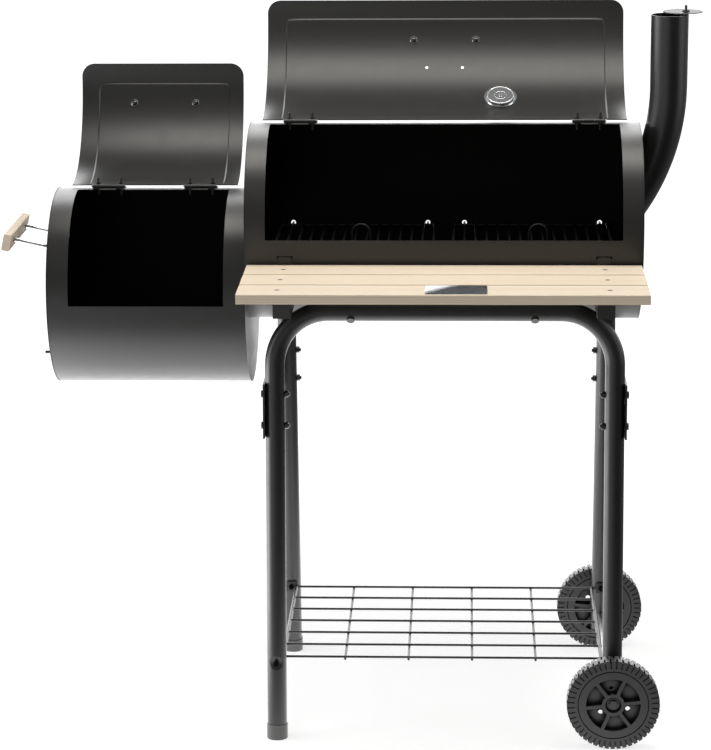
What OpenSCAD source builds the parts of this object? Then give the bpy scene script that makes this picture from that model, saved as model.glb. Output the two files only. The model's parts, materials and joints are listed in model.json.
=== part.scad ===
// Offset smoker: a horizontal cooking barrel with a lower firebox butted to its left end, a bent
// chimney on its right end, a slatted front table, a tubular stand with a wire shelf and two wheels.
// X runs from the firebox to the chimney, Y from the table to the back, Z up. Millimetres.

/* [Barrels] */
// Outer radius of the cooking barrel and of the firebox
barrel_r = 160; // [140:1:175]
// Sheet thickness of the barrels and their end plates
wall = 1.2; // [0.8:0.1:2]
// Length of the cooking barrel over its end plates
main_len = 635; // [600:1:700]
// Height of the cooking barrel's axis above the ground
main_z = 822; // [800:1:860]
// Length of the firebox over its end plates
fire_len = 320; // [290:1:380]
// How much lower the firebox's axis lies than the cooking barrel's
fire_drop = 108; // [95:1:120]
// How far the end plates stand out past the barrels
rim_out = 0.8; // [0.4:0.1:1.5]
// Depth of the folded flange inside each end plate
end_flange = 9; // [5:1:15]
// Width left solid at each end of the cooking barrel beside its opening
main_margin = 33.5; // [30:0.5:40]
// Width left solid at each end of the firebox beside its opening
fire_margin = 35; // [30:0.5:40]
// Angle of the openings' lower edge above the barrel's front line
open_from = -1; // [-4:0.5:2]
// Angle of the openings' upper edge
open_to = 88; // [84:0.5:89]
// Diameter of the smoke duct between the barrels
duct_d = 130; // [100:1:136]

/* [Lids] */
// Sheet thickness of the lids
lid_t = 1.5; // [1:0.1:2]
// Gap between a closed lid and its barrel
lid_gap = 1.5; // [1:0.1:2]
// How far the cooking lid reaches past its opening at each side
main_lap = 14; // [10:1:16]
// How far the firebox lid reaches past its opening at each side
fire_lap = 12; // [10:1:16]
// Angle of the lids' free edge
lid_from = -2.5; // [-5:0.5:-2]
// Angle of the lids' hinged edge
lid_to = 92.4; // [91:0.1:92.6]
// Rounding of the lids' free corners
lid_corner = 22; // [10:1:30]
// How far the cooking lid stands open
main_open = 177; // [150:1:178]
// How far the firebox lid stands open
fire_open = 176; // [150:1:178]

/* [Hinges] */
// Angle of the hinge line round each barrel
hinge_at = 94; // [93.8:0.1:96]
// Length of each hinge
hinge_w = 54; // [46:1:70]
// Thickness of the hinge leaves
leaf_t = 1.2; // [0.8:0.1:1.2]
// Diameter of the hinge pins
pin_d = 3; // [2:0.1:3.2]
// Diameter of the knuckles
knuckle_d = 5.4; // [5:0.1:5.6]
// Height of the hinge line above the barrel
pin_rise = 3.2; // [2.9:0.1:3.4]
// Distance between the two bolts of a leaf
hinge_bolt_gap = 37.5; // [30:0.5:44]
// Distance of the lid bolts from the hinge line
lid_bolt_off = 9.5; // [9:0.1:11]
// Distance of the barrel bolts from the hinge line
body_bolt_off = 18; // [17.5:0.5:22]
// Middle of the cooking lid's hinges, measured in from each end of the barrel
main_hinge_in = 82; // [70:1:120]
// Middle of the firebox lid's hinges, measured in from each end of the firebox
fire_hinge_in = 84; // [75:1:100]

/* [Handles] */
// Height of the wooden grips' section
grip_h = 27; // [20:1:32]
// Thickness of the wooden grips
grip_t = 13; // [11:0.5:16]
// Length of the side grip
side_grip_len = 190; // [150:5:220]
// Length of the lid grips
lid_grip_len = 170; // [140:5:220]
// Distance between the rods of a lid handle
rod_gap = 104; // [80:1:120]
// Distance between the rods of the side handle
side_rod_gap = 118; // [90:1:130]
// Diameter of the handle rods
rod_d = 7; // [6:0.5:8]
// Length of a lid handle's rods outside the lid
lid_rod_len = 42; // [30:1:50]
// Length of the side handle's rods outside the end plate
side_rod_len = 66.5; // [50:0.5:90]
// Upward slope of the side handle
side_slope = 12; // [0:1:20]
// Height of the side handle's rods above the firebox axis
side_rod_rise = 73; // [60:1:80]
// Angle of the cooking lid's handle round the barrel
main_handle_at = 21.2; // [15:0.1:30]
// Place of the cooking lid's handle from the barrel's left end
main_handle_x = 316.7; // [250:0.1:330]
// Angle of the firebox lid's handle
fire_handle_at = 21.2; // [15:0.1:30]
// Place of the firebox lid's handle from the firebox's left end
fire_handle_x = 163.6; // [140:0.1:180]

/* [Thermometer and nameplates] */
// Diameter of the thermometer's can
can_d = 48; // [40:1:50]
// Angle of the thermometer round the barrel
thermo_at = 63; // [60:1:66]
// Place of the thermometer from the barrel's left end
thermo_x = 409.6; // [400:0.1:480]
// Angle of the lid's bare plate round the barrel
badge_at = 38.9; // [36:0.1:42]
// Distance between the rivets of the bare plate
rivet_gap = 59.5; // [50:0.5:70]

/* [Chimney] */
// Outer diameter of the chimney pipe
pipe_d = 60; // [50:1:64]
// Distance of the upright pipe's axis from the end plate
pipe_out = 45; // [40:1:60]
// Height at which the pipe begins to bend
bend_z = 1042; // [1030:1:1060]
// Radius of the bend along the pipe's axis
bend_r = 339; // [320:1:360]
// Height of the pipe's mouth
pipe_top = 1158; // [1120:1:1180]
// Diameter of the damper disc
disc_d = 64; // [56:1:70]
// Angle of the disc's middle round its stud, with the chimney fully open
disc_at = 96.6; // [90:0.1:120]
// Height of the stud above the pipe's mouth
stud_rise = 15.5; // [12:0.5:20]

/* [Air damper] */
// Diameter of the air damper on the firebox
air_d = 112; // [104:1:114]
// How far the air damper's middle lies below the firebox axis
air_drop = 82; // [75:1:84]
// Diameter of the air holes
air_hole_d = 22; // [16:1:24]
// Length of the air damper's knob
air_knob = 20; // [15:1:30]

/* [Grates] */
// Diameter of the grates' frame wire
frame_wire = 5; // [4:0.5:6]
// Diameter of the grates' bars
bar_wire = 3.6; // [3:0.1:4]
// Distance between the grates' bars
bar_pitch = 19.2; // [15:0.1:25]
// How far the cooking grates lie below the barrel's axis
cook_drop = 37; // [33:1:40]
// Gap between the two cooking grates
cook_gap = 25; // [20:1:60]
// Angle of the charcoal grate's long edges below the cooking barrel's axis
coal_at = 36.14; // [34:0.01:38]
// How far the firebox grate lies below the firebox axis
fire_grate_drop = 95; // [85:1:105]

/* [Table] */
// How much shorter the table's slats are than the cooking barrel
slat_short = 7; // [-20:0.5:40]
// Width of a slat
slat_w = 72; // [60:1:76]
// Thickness of a slat
slat_t = 15; // [12:1:20]
// Gap between the slats
slat_gap = 5; // [3:0.5:10]
// Height of the table's top
table_z = 779.5; // [775:0.5:785]
// Distance of the table's back edge from the barrel's axis
table_back = 158; // [157.5:0.5:165]
// Place of the first bracket from the barrel's left end
bracket_x = 64.7; // [60:0.1:75]
// Width of the brackets
bracket_w = 28; // [24:1:32]
// Sheet thickness of the brackets
bracket_t = 2; // [1.5:0.1:2.5]

/* [Stand] */
// Diameter of the stand's tubes
tube_d = 32; // [28:1:34]
// Wall of the stand's tubes
tube_wall = 1.5; // [1:0.1:2]
// Distance of the left legs from the barrel's left end
leg_x = 45.9; // [40:0.1:60]
// Distance between the left and right legs
leg_span = 547; // [500:1:580]
// Angle of the line from the barrel's axis to a top tube, below the level
rail_below = 41.07; // [39:0.01:44]
// Gap between the barrel and the top tubes
rail_gap = 9.7; // [8:0.1:14]
// Outward slope of the legs
leg_tilt = 6; // [0:0.5:8]
// Radius of the tube bends along their axis
tube_bend = 87; // [70:1:100]
// Height at which the right legs end
short_leg_z = 46; // [30:1:52]
// Distance between the screws of a top tube
frame_screw_gap = 295; // [240:1:320]
// Thickness of the side braces
brace_t = 3; // [2:0.5:4]
// Height of the side braces
brace_h = 88; // [80:1:100]
// Height of the side braces' middle
brace_z = 541; // [500:1:560]

/* [Shelf] */
// Height of the wire shelf
shelf_z = 128; // [115:1:160]
// Diameter of the shelf's wires
shelf_wire = 4; // [3:0.5:6]
// Distance between the shelf's long wires
shelf_pitch = 60.4; // [50:0.1:61]
// Distance between the shelf's cross wires
cross_pitch = 104; // [80:1:110]

/* [Wheels] */
// Radius of the wheels
wheel_r = 75; // [72:1:80]
// Width of the wheels
wheel_w = 26; // [24:1:32]
// Diameter of the axle
axle_d = 10; // [8:0.5:12]
// Gap between a leg and the wheel's inner face
wheel_gap = 8.8; // [6:0.1:14]
// Number of tread lugs round each edge of a wheel
lugs = 48; // [24:1:54]
// Depth of the pockets between a wheel's spokes
pocket_d = 10.5; // [6:0.5:11]

/* [Hidden] */

$fn = 64;
seat = 0.05;        // gap between faces that sit on each other
fit = 0.1;          // radial gap of a part held in a hole
run = 0.08;         // radial gap of a part that turns on a pin
far = 2 * main_len;  // longer than any part, for cuts that run right through
wire_seat = 0.3;    // gap under wires and soft edges that lie on a curved wall
bore_fit = 0.2;     // radial gap of a bolt in its hole

// Barrels
fire_z = main_z - fire_drop;
bore_r = barrel_r - wall;
duct_z = (main_z + fire_z) / 2;
join_pcd = duct_d + 40;
skirt_x = [main_margin, main_len - main_margin];
hatch_x = [-fire_len + fire_margin, -fire_margin];

// Lids and hinges
lid_r = barrel_r + lid_gap;
lid_or = lid_r + lid_t;
pin_r = barrel_r + pin_rise;
pin_y = -pin_r * cos(hinge_at);
pin_up = pin_r * sin(hinge_at);
main_lid_x = [skirt_x[0] - main_lap, skirt_x[1] + main_lap];
fire_lid_x = [hatch_x[0] - fire_lap, hatch_x[1] + fire_lap];
main_hinges = [main_hinge_in, main_len - main_hinge_in];
fire_hinges = [-fire_len + fire_hinge_in, -fire_hinge_in];
m4 = 4;
m5 = 5;
m6 = 6;
flat_head_h = 1.2;
leaf_edge = 6.83;  // from the hinge line to the lid leaf's near edge
tongue_from = 7.97;  // from the hinge line to where the leaf's tongue starts
lid_bolt_at = hinge_at - lid_bolt_off / lid_or * 180 / PI;
body_bolt_at = hinge_at + body_bolt_off / barrel_r * 180 / PI;
fixed_leaf_to = body_bolt_at + 4.5 / barrel_r * 180 / PI;
lid_leaf_from = lid_bolt_at - 4.5 / lid_or * 180 / PI;
fixed_x = hinge_w / 3;

// Handles
grip_round = 2;
nut_flange = 13.6;
side_rod_z = fire_z + side_rod_rise;

// Chimney
pipe_x = main_len + pipe_out;
pipe_t = 1.2;
flange_t = 2;
bend_x = pipe_x - bend_r;
drop_z = bend_z - (bend_r + pipe_d / 2) * sin(acos((main_len - bend_x) / (bend_r + pipe_d / 2)));
crotch_z = bend_z - (bend_r - pipe_d / 2) * sin(acos((main_len - bend_x) / (bend_r - pipe_d / 2)));
flange_mid = (drop_z + crotch_z) / 2;
flange_h = (crotch_z - drop_z) + 28;
flange_w = pipe_d + 26;
stud_d = 4.4;
stud_x = pipe_x + pipe_d / 2 - pipe_t - stud_d / 2 - 1.2;
disc_off = stud_x - pipe_x + 1;
disc_t = 1.4;
disc_z = pipe_top + 1.2;

// Air damper
air_z = fire_z - air_drop;
air_t = 1.2;
air_x = -fire_len - seat - air_t;
air_hole_r = air_d / 2 - air_hole_d / 2 - 12;
knob_at = 205.6;
knob_r = air_d / 2 - 3.5;

// Thermometer, in a frame whose Z is the distance from the barrel's axis
can_r = can_d / 2;
can_in = 9;
bezel_t = 7.8;
bezel_r = can_r + 5;

// Grates
cook_in = [37.5, 40.5];
cook_len = (main_len - cook_in[0] - cook_in[1] - cook_gap) / 2;
weld = 0.8;         // how deep crossing wires are welded into each other
hook_d = 4;
hook_rise = frame_wire / 2 + hook_d / 2 - weld;
hook_in = [22.1, cook_len - 15];
hook_hole_d = 8;
coal_drop = (bore_r - wire_seat - frame_wire / 2) * sin(coal_at);
hook_z = main_z - cook_drop + hook_rise;
hook_y = sqrt(pow(barrel_r - wall / 2, 2) - pow(cook_drop - hook_rise, 2));
cook_x = [cook_in[0], main_len - cook_in[1] - cook_len];
lift_loop_w = 30;
lift_loop_h = 30;

// Table
slat_len = main_len - slat_short;
slat_x = 4;
front_bracket_x = [bracket_x, main_len - bracket_x + 2];
slat_ys = [for (i = [0:2]) -table_back - slat_w / 2 - i * (slat_w + slat_gap)];
slat_low = table_z - slat_t;
shelf_front = -table_back - 3 * slat_w - 2 * slat_gap;
web_front = -250;
web_low = 712;
tab_w = 21;
plate_x = [291, 386];

// Stand
tube_r = tube_d / 2;
rail_dist = barrel_r + rail_gap + tube_r;
rail_at = -rail_below;
rail_y = rail_dist * cos(rail_at);
rail_z = main_z + rail_dist * sin(rail_at);
slope = tan(leg_tilt);
mid_x = leg_x + leg_span / 2;
leg_xs = [leg_x, leg_x + leg_span];
leg_drop = rail_z / cos(leg_tilt);
axle_z = wheel_r;
screw_xs = [mid_x - frame_screw_gap / 2 - 3, mid_x + frame_screw_gap / 2 - 3];
brace_bolt_z = [brace_z - 26, brace_z + 25];
sleeve_len = 80;
foot_h = 23;
foot_seat = 6;       // height at which the left legs stand in their caps
foot_r = tube_r + 1.2;
shelf_ends = [leg_x + 9, leg_xs[1] - 17];
cross_in = 102;
shelf_lanes = [for (i = [-3:3]) i * shelf_pitch];
tab_y = leg_y(shelf_z) - tube_r / cos(leg_tilt) - 1.2;

// Wheels
wheel_y = leg_y(axle_z) + tube_r / cos(leg_tilt) + wheel_gap + wheel_w / 2;
hub_r = 18.5;
recess_d = 26;
recess_h = 7;
nut_h = 6;

// The stand's middle on the ground is the origin
grip_out = side_rod_len + grip_t / 2;
x_low = -fire_len - grip_out * cos(side_slope) - (grip_h / 2 - grip_round) * sin(side_slope)
    - (grip_t / 2 - grip_round) * cos(side_slope) - grip_round;
x_high = stud_x + disc_off * cos(disc_at) + disc_d / 2;
y_low = shelf_front;
y_high = wheel_y + wheel_w / 2;
origin = [-(x_low + x_high) / 2, -(y_low + y_high) / 2, 0];

// Distance of a leg's axis from the barrel's vertical plane at height z
function leg_y(z) = rail_y + (rail_z - z) * slope;

// Half the chord of a barrel's bore at a depth below its axis, for a wire of diameter d
function chord(drop, d) = sqrt(pow(bore_r - wire_seat - d / 2, 2) - drop * drop);

module place() translate(origin) children();

// A frame on a barrel whose Z points straight out from the axis at angle g above the front
module radial(zc, g, x) translate([x, 0, zc]) rotate([90 - g, 0, 0]) children();

// A curved sheet between two radii, two places along the barrel and two angles
module sector(zc, r0, r1, x0, x1, g0, g1) translate([0, 0, zc])
    rotate([90, 0, 0]) rotate([0, -90, 0]) rotate([0, 0, g0])
    rotate_extrude(angle = g1 - g0, $fn = 180) translate([r0, -x1]) square([r1 - r0, x1 - x0]);

module along_x(x, y, z, len, r) translate([x, y, z]) rotate([0, 90, 0]) cylinder(h = len, r = r);

module along_y(x, y, z, len, r) translate([x, y, z]) rotate([-90, 0, 0]) cylinder(h = len, r = r);

module rounded_rect(w, h, r) {
    square([w - 2 * r, h], center = true);
    square([w, h - 2 * r], center = true);
    for (sx = [-1, 1], sy = [-1, 1])
        translate([sx * (w / 2 - r), sy * (h / 2 - r)]) circle(r = r, $fn = 32);
}

// A bolt whose head sits at z = 0 and whose shank runs down to -len
module bolt(d, len, head_d, head_h) {
    cylinder(h = head_h, d = head_d, $fn = 40);
    translate([0, 0, -len]) cylinder(h = len + head_h / 2, d = d, $fn = 32);
}

// A hexagon nut whose upper face is at z = 0
module nut(d, across, h) translate([0, 0, -h]) difference() {
    cylinder(h = h, d = across / cos(30), $fn = 6);
    translate([0, 0, -1]) cylinder(h = h + 2, d = d + 2 * fit, $fn = 32);
}

module open_lid(zc, angle) translate([0, pin_y, zc + pin_up]) rotate([-angle, 0, 0])
    translate([0, -pin_y, -zc - pin_up]) children();

// ---- barrels ----

module tube_shell(zc, x0, x1) difference() {
    along_x(x0, 0, zc, x1 - x0, barrel_r, $fn = 180);
    along_x(x0 - 1, 0, zc, x1 - x0 + 2, bore_r, $fn = 180);
}

module hinge_holes(zc, hinges) for (x = hinges, s = [-1, 1])
    radial(zc, body_bolt_at, x + s * hinge_bolt_gap / 2)
        translate([0, 0, bore_r - 5]) cylinder(h = 10, d = m4 + 2 * bore_fit, $fn = 32);

// Notches in the opening's upper rim, which the lid bolts' nuts drop through
module rim_notches(zc, hinges) for (x = hinges, s = [-1, 1])
    sector(zc, bore_r - 10, barrel_r + 10, x + s * hinge_bolt_gap / 2 - 5,
        x + s * hinge_bolt_gap / 2 + 5, open_to - 1, lid_bolt_at + 4.7 / barrel_r * 180 / PI);

module main_barrel() color("#2b2a29") place() difference() {
    tube_shell(main_z, wall, main_len - wall);
    rim_notches(main_z, main_hinges);
    sector(main_z, bore_r - 10, barrel_r + 10, skirt_x[0], skirt_x[1], open_from, open_to);
    hinge_holes(main_z, main_hinges);
    for (x = screw_xs, side = [0, 1]) frame_screw_line(x, side)
        translate([0, 0, bore_r - 5]) cylinder(h = 10, d = m6 + 2 * bore_fit, $fn = 32);
    for (cx = cook_x, h = hook_in)
        along_y(cx + h, hook_y - 10, hook_z, 20, hook_hole_d / 2, $fn = 40);
    for (x = front_bracket_x) {
        sector(main_z, bore_r - 4, barrel_r + 4, x - tab_w / 2 - 2, x + tab_w / 2 + 2, -12.4, -10.2);
        radial(main_z, bracket_bolt_at, x) translate([0, 0, bore_r - 5])
            cylinder(h = 10, d = m6 + 2 * bore_fit, $fn = 32);
    }
}

module firebox_barrel() color("#2b2a29") place() difference() {
    tube_shell(fire_z, -fire_len + wall, -wall);
    sector(fire_z, bore_r - 10, barrel_r + 10, hatch_x[0], hatch_x[1], open_from, open_to);
    hinge_holes(fire_z, fire_hinges);
    rim_notches(fire_z, fire_hinges);
}

// An end plate with its outer face at x and its folded flange towards inward
module end_plate(zc, x, inward) {
    plate_x0 = inward > 0 ? x : x - wall;
    flange_x0 = inward > 0 ? x : x - end_flange;
    along_x(plate_x0, 0, zc, wall, barrel_r + rim_out, $fn = 180);
    difference() {
        along_x(flange_x0, 0, zc, end_flange, bore_r - fit, $fn = 180);
        along_x(flange_x0 - 1, 0, zc, end_flange + 2, bore_r - fit - wall, $fn = 180);
    }
}

module duct_cut() {
    along_x(-5, 0, duct_z, 10, duct_d / 2, $fn = 120);
    for (a = [45:90:315])
        along_x(-5, join_pcd / 2 * cos(a), duct_z + join_pcd / 2 * sin(a), 10, m6 / 2 + bore_fit);
}

module main_end_left() color("#333231") place() difference() {
    end_plate(main_z, 0, 1);
    duct_cut();
}

module main_end_right() color("#333231") place() difference() {
    end_plate(main_z, main_len, -1);
    chimney_bore();
    chimney_bolt_places() translate([0, 0, -8]) cylinder(h = 12, d = m5 + 2 * bore_fit, $fn = 32);
}

module firebox_end_left() color("#333231") place() difference() {
    end_plate(fire_z, -fire_len, 1);
    for (a = [0:90:270]) along_x(-fire_len - 2, air_hole_r * cos(a), air_z + air_hole_r * sin(a),
        6, air_hole_d / 2, $fn = 48);
    along_x(-fire_len - 2, 0, air_z, 6, m6 / 2 + bore_fit);
    for (s = [-1, 1]) side_rod_line(s) translate([0, 0, -8])
        cylinder(h = 16, d = m5 + 2 * bore_fit, $fn = 32);
}

module firebox_end_right() color("#333231") place() difference() {
    end_plate(fire_z, 0, -1);
    duct_cut();
}

module end_plate_bolts() color("#1c1c1c") place() {
    for (a = [45:90:315]) translate([wall + seat, join_pcd / 2 * cos(a),
        duct_z + join_pcd / 2 * sin(a)]) rotate([0, 90, 0]) {
        bolt(m6, 12, 12, 3.2);
        translate([0, 0, -2 * wall - 2 * seat]) nut(m6, 10, 5);
    }
    chimney_bolt_places() {
        translate([0, 0, seat]) bolt(m5, 12, 9, 1.6);
        translate([0, 0, -flange_t - wall - seat]) nut(m5, 8, 4);
    }
}

// ---- chimney ----

// The straight pipe sits over the elbow with a fine step where they are welded
module bent_pipe(r) {
    translate([pipe_x, 0, bend_z - 2]) cylinder(h = pipe_top - bend_z + 2, r = r + 0.15,
        $fn = 96);
    translate([bend_x, 0, bend_z]) rotate([90, 0, 0]) rotate([0, 0, -44])
        rotate_extrude(angle = 44, $fn = 240) translate([bend_r, 0]) circle(r = r, $fn = 96);
}

module chimney_bore() intersection() {
    bent_pipe(pipe_d / 2 - pipe_t);
    translate([main_len - 12, -pipe_d, drop_z - pipe_d]) cube([24, 2 * pipe_d, far]);
}

module flange_outline() translate([0, flange_mid - flange_h / 2 + flange_w / 2]) {
    circle(d = flange_w, $fn = 96);
    translate([-flange_w / 2, 0]) square([flange_w, flange_h - flange_w]);
    translate([0, flange_h - flange_w]) circle(d = flange_w, $fn = 96);
}

module chimney_bolt_places() for (s = [-1, 1], up = [-1, 1])
    translate([main_len + flange_t, s * (pipe_d / 2 + 7), flange_mid + up * flange_h * 0.27])
        rotate([0, 90, 0]) children();

module chimney() color("#2a2a29") place() difference() {
    union() {
        intersection() {
            bent_pipe(pipe_d / 2);
            translate([main_len, -pipe_d, drop_z - pipe_d]) cube([far, 2 * pipe_d, far]);
        }
        translate([main_len, 0, 0]) rotate([90, 0, 90]) linear_extrude(height = flange_t)
            flange_outline();
    }
    difference() {
        bent_pipe(pipe_d / 2 - pipe_t);
        translate([stud_x - 5, -8, pipe_top - 14]) cube([20, 16, 2]);
    }
    translate([stud_x, 0, pipe_top - 20]) cylinder(h = 30, d = stud_d + 2 * fit, $fn = 32);
    translate([pipe_x - pipe_d, -pipe_d, pipe_top]) cube(2 * pipe_d);
    chimney_bolt_places() translate([0, 0, -8]) cylinder(h = 12, d = m5 + 2 * bore_fit, $fn = 32);
}

module chimney_damper() color("#b9bbbd") place() difference() {
    union() {
        translate([stud_x + disc_off * cos(disc_at), disc_off * sin(disc_at), disc_z])
            cylinder(h = disc_t, d = disc_d, $fn = 96);
        translate([stud_x, 0, disc_z]) rotate([0, 0, disc_at])
            translate([disc_off + disc_d / 2 - 4, -6, 0]) cube([9, 12, disc_t]);
    }
    translate([stud_x, 0, disc_z - 1]) cylinder(h = disc_t + 2, d = stud_d + 2 * run, $fn = 32);
}

module damper_stud() color("#1a1a1a") place() translate([stud_x, 0, 0]) {
    translate([0, 0, pipe_top - 17]) cylinder(h = stud_rise + 17, d = stud_d, $fn = 32);
    translate([0, 0, pipe_top - 14 - seat]) rotate([0, 0, 30]) nut(stud_d, 6.8, 3);
    translate([0, 0, disc_z + disc_t + seat]) difference() {
        union() {
            cylinder(h = 3.5, d = 8, $fn = 40);
            translate([-5.85, -1, 1]) cube([11.7, 2, 3.6]);
        }
        translate([0, 0, -1]) cylinder(h = 8, d = stud_d + 2 * fit, $fn = 32);
    }
}

// ---- air damper ----

module air_damper() color("#2c2b2a") place() translate([air_x, 0, air_z]) {
    difference() {
        along_x(0, 0, 0, air_t, air_d / 2, $fn = 120);
        for (a = [0:90:270]) along_x(-1, air_hole_r * cos(a), air_hole_r * sin(a), air_t + 2,
            air_hole_d / 2, $fn = 48);
        along_x(-1, 0, 0, air_t + 2, m6 / 2 + run, $fn = 32);
    }
    along_x(-air_knob, knob_r * cos(knob_at), knob_r * sin(knob_at), air_knob + air_t / 2, 2.5);
}

module air_damper_bolt() color("#1c1c1c") place() translate([air_x - seat, 0, air_z])
    rotate([0, -90, 0]) {
        bolt(m6, 11, 13, 2.6);
        translate([0, 0, -air_t - wall - 2 * seat - seat]) nut(m6, 10, 5);
    }

// ---- lids ----

module lid_corner_cut(zc, x, side) radial(zc, lid_from, x) translate([0, 0, lid_r - 8])
    mirror([side > 0 ? 0 : 1, 0, 0]) linear_extrude(height = 16) difference() {
        translate([-6, -6]) square(lid_corner + 6);
        translate([lid_corner, lid_corner]) circle(r = lid_corner + 0.15, $fn = 64);
    }

module lid_sheet(zc, xs, hinges, handle_x, handle_at) difference() {
    sector(zc, lid_r, lid_or, xs[0], xs[1], lid_from, lid_to);
    lid_corner_cut(zc, xs[0], 1);
    lid_corner_cut(zc, xs[1], -1);
    for (x = hinges, s = [-1, 1]) radial(zc, lid_bolt_at, x + s * hinge_bolt_gap / 2)
        translate([0, 0, lid_r - 5]) cylinder(h = 10, d = m4 + 2 * bore_fit, $fn = 32);
    for (s = [-1, 1]) radial(zc, handle_at, handle_x + s * rod_gap / 2)
        translate([0, 0, lid_r - 5]) cylinder(h = 10, d = m5 + 2 * bore_fit, $fn = 32);
}

module main_lid() color("#353433") place() open_lid(main_z, main_open) difference() {
    lid_sheet(main_z, main_lid_x, main_hinges, main_handle_x, main_handle_at);
    radial(main_z, thermo_at, thermo_x) translate([0, 0, lid_r - 10])
        cylinder(h = 20, r = can_r + 0.5, $fn = 96);
    for (s = [-1, 1]) radial(main_z, badge_at, main_handle_x + s * rivet_gap / 2)
        translate([0, 0, lid_r - 5]) cylinder(h = 10, d = 3 + 2 * bore_fit, $fn = 32);
}

module firebox_lid() color("#353433") place() open_lid(fire_z, fire_open)
    lid_sheet(fire_z, fire_lid_x, fire_hinges, -fire_len + fire_handle_x, fire_handle_at);

// ---- hinges ----

module knuckle(zc, x0, len) translate([x0, pin_y, zc + pin_up]) rotate([0, 90, 0])
    cylinder(h = len, d = knuckle_d, $fn = 48);

module pin_bore(zc, x) translate([x - hinge_w, pin_y, zc + pin_up]) rotate([0, 90, 0])
    cylinder(h = 2 * hinge_w, d = pin_d + 2 * run, $fn = 48);

module fixed_leaf(zc, x) difference() {
    union() {
        sector(zc, barrel_r + seat, barrel_r + seat + leaf_t, x - hinge_w / 2, x + hinge_w / 2,
            hinge_at, fixed_leaf_to);
        knuckle(zc, x - hinge_w / 2 + 0.3, hinge_w - 0.6);
    }
    translate([x - fixed_x / 2 - wire_seat, pin_y, zc + pin_up]) rotate([0, 90, 0])
        cylinder(h = fixed_x + 2 * wire_seat, d = knuckle_d + 2 * wire_seat, $fn = 48);
    pin_bore(zc, x);
    for (s = [-1, 1]) radial(zc, body_bolt_at, x + s * hinge_bolt_gap / 2)
        translate([0, 0, barrel_r - 5]) cylinder(h = 10, d = m4 + 2 * bore_fit, $fn = 32);
}

module lid_leaf(zc, x) difference() {
    union() {
        sector(zc, lid_or + seat, lid_or + seat + leaf_t, x - hinge_w / 2, x + hinge_w / 2,
            lid_leaf_from, hinge_at - leaf_edge / lid_or * 180 / PI);
        sector(zc, lid_or + seat + 0.1, lid_or + seat + leaf_t - 0.1, x - fixed_x / 2 + 0.3,
            x + fixed_x / 2 - 0.3, hinge_at - tongue_from / lid_or * 180 / PI, hinge_at);
        knuckle(zc, x - fixed_x / 2, fixed_x);
    }
    pin_bore(zc, x);
    for (s = [-1, 1]) radial(zc, lid_bolt_at, x + s * hinge_bolt_gap / 2)
        translate([0, 0, lid_or - 5]) cylinder(h = 10, d = m4 + 2 * bore_fit, $fn = 32);
}

module lid_side_bolts(zc, hinges) for (x = hinges, s = [-1, 1])
    radial(zc, lid_bolt_at, x + s * hinge_bolt_gap / 2) {
        translate([0, 0, lid_or + leaf_t + 2 * seat + seat]) bolt(m4, 13.5, 7.5, flat_head_h);
        translate([0, 0, lid_r - 2 * seat]) nut(m4, 7, 3.2);
    }

module body_side_bolts(zc, hinges) for (x = hinges, s = [-1, 1])
    radial(zc, body_bolt_at, x + s * hinge_bolt_gap / 2) {
        translate([0, 0, barrel_r + leaf_t + 3 * seat]) bolt(m4, 13.5, 7.5, flat_head_h);
        translate([0, 0, bore_r - 2 * seat]) nut(m4, 7, 3.2);
    }

module hinge_fixed_leaves() color("#1f1f1f") place() {
    for (x = main_hinges) fixed_leaf(main_z, x);
    for (x = fire_hinges) fixed_leaf(fire_z, x);
}

module main_lid_leaves() color("#1f1f1f") place() open_lid(main_z, main_open)
    for (x = main_hinges) lid_leaf(main_z, x);

module firebox_lid_leaves() color("#1f1f1f") place() open_lid(fire_z, fire_open)
    for (x = fire_hinges) lid_leaf(fire_z, x);

module hinge_pin(zc, x) translate([x - hinge_w / 2 - 1.5, pin_y, zc + pin_up]) rotate([0, 90, 0])
    cylinder(h = hinge_w + 3, d = pin_d, $fn = 48);

module hinge_pins() color("#6f7072") place() {
    for (x = main_hinges) hinge_pin(main_z, x);
    for (x = fire_hinges) hinge_pin(fire_z, x);
}

module hinge_bolts() color("#1c1c1c") place() {
    body_side_bolts(main_z, main_hinges);
    body_side_bolts(fire_z, fire_hinges);
}

module main_lid_bolts() color("#1c1c1c") place() open_lid(main_z, main_open)
    lid_side_bolts(main_z, main_hinges);

module firebox_lid_bolts() color("#1c1c1c") place() open_lid(fire_z, fire_open)
    lid_side_bolts(fire_z, fire_hinges);

// ---- handles ----

// A grip lying along X with its near face at z = 0 and a blind hole for each rod
module grip(len, gap) difference() {
    translate([-len / 2, 0, grip_t / 2]) rotate([90, 0, 90]) linear_extrude(height = len)
        rounded_rect(grip_h, grip_t, grip_round);
    for (s = [-1, 1]) translate([s * gap / 2, 0, -1])
        cylinder(h = grip_t * 0.6 + 1, d = rod_d + 2 * fit, $fn = 40);
}

// A rod from its shoulder at z = 0 into the grip, with a threaded end below the shoulder
module handle_rod(len, thread) {
    cylinder(h = len + grip_t * 0.5, d = rod_d, $fn = 40);
    translate([0, 0, -thread]) cylinder(h = thread + 1, d = m5, $fn = 32);
}

module dome_nut() difference() {
    union() {
        translate([0, 0, -1.2]) cylinder(h = 1.2, d = nut_flange, $fn = 64);
        translate([0, 0, -4.4]) cylinder(h = 3.6, d = 9 / cos(30), $fn = 6);
        translate([0, 0, -5.4]) cylinder(h = 1.4, d = 8, $fn = 40);
    }
    translate([0, 0, -6]) cylinder(h = 8, d = m5 + 2 * fit, $fn = 32);
}

module lid_handle_frame(zc, at, x) radial(zc, at, x) translate([0, 0, lid_or + 2 * seat])
    children();

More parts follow.
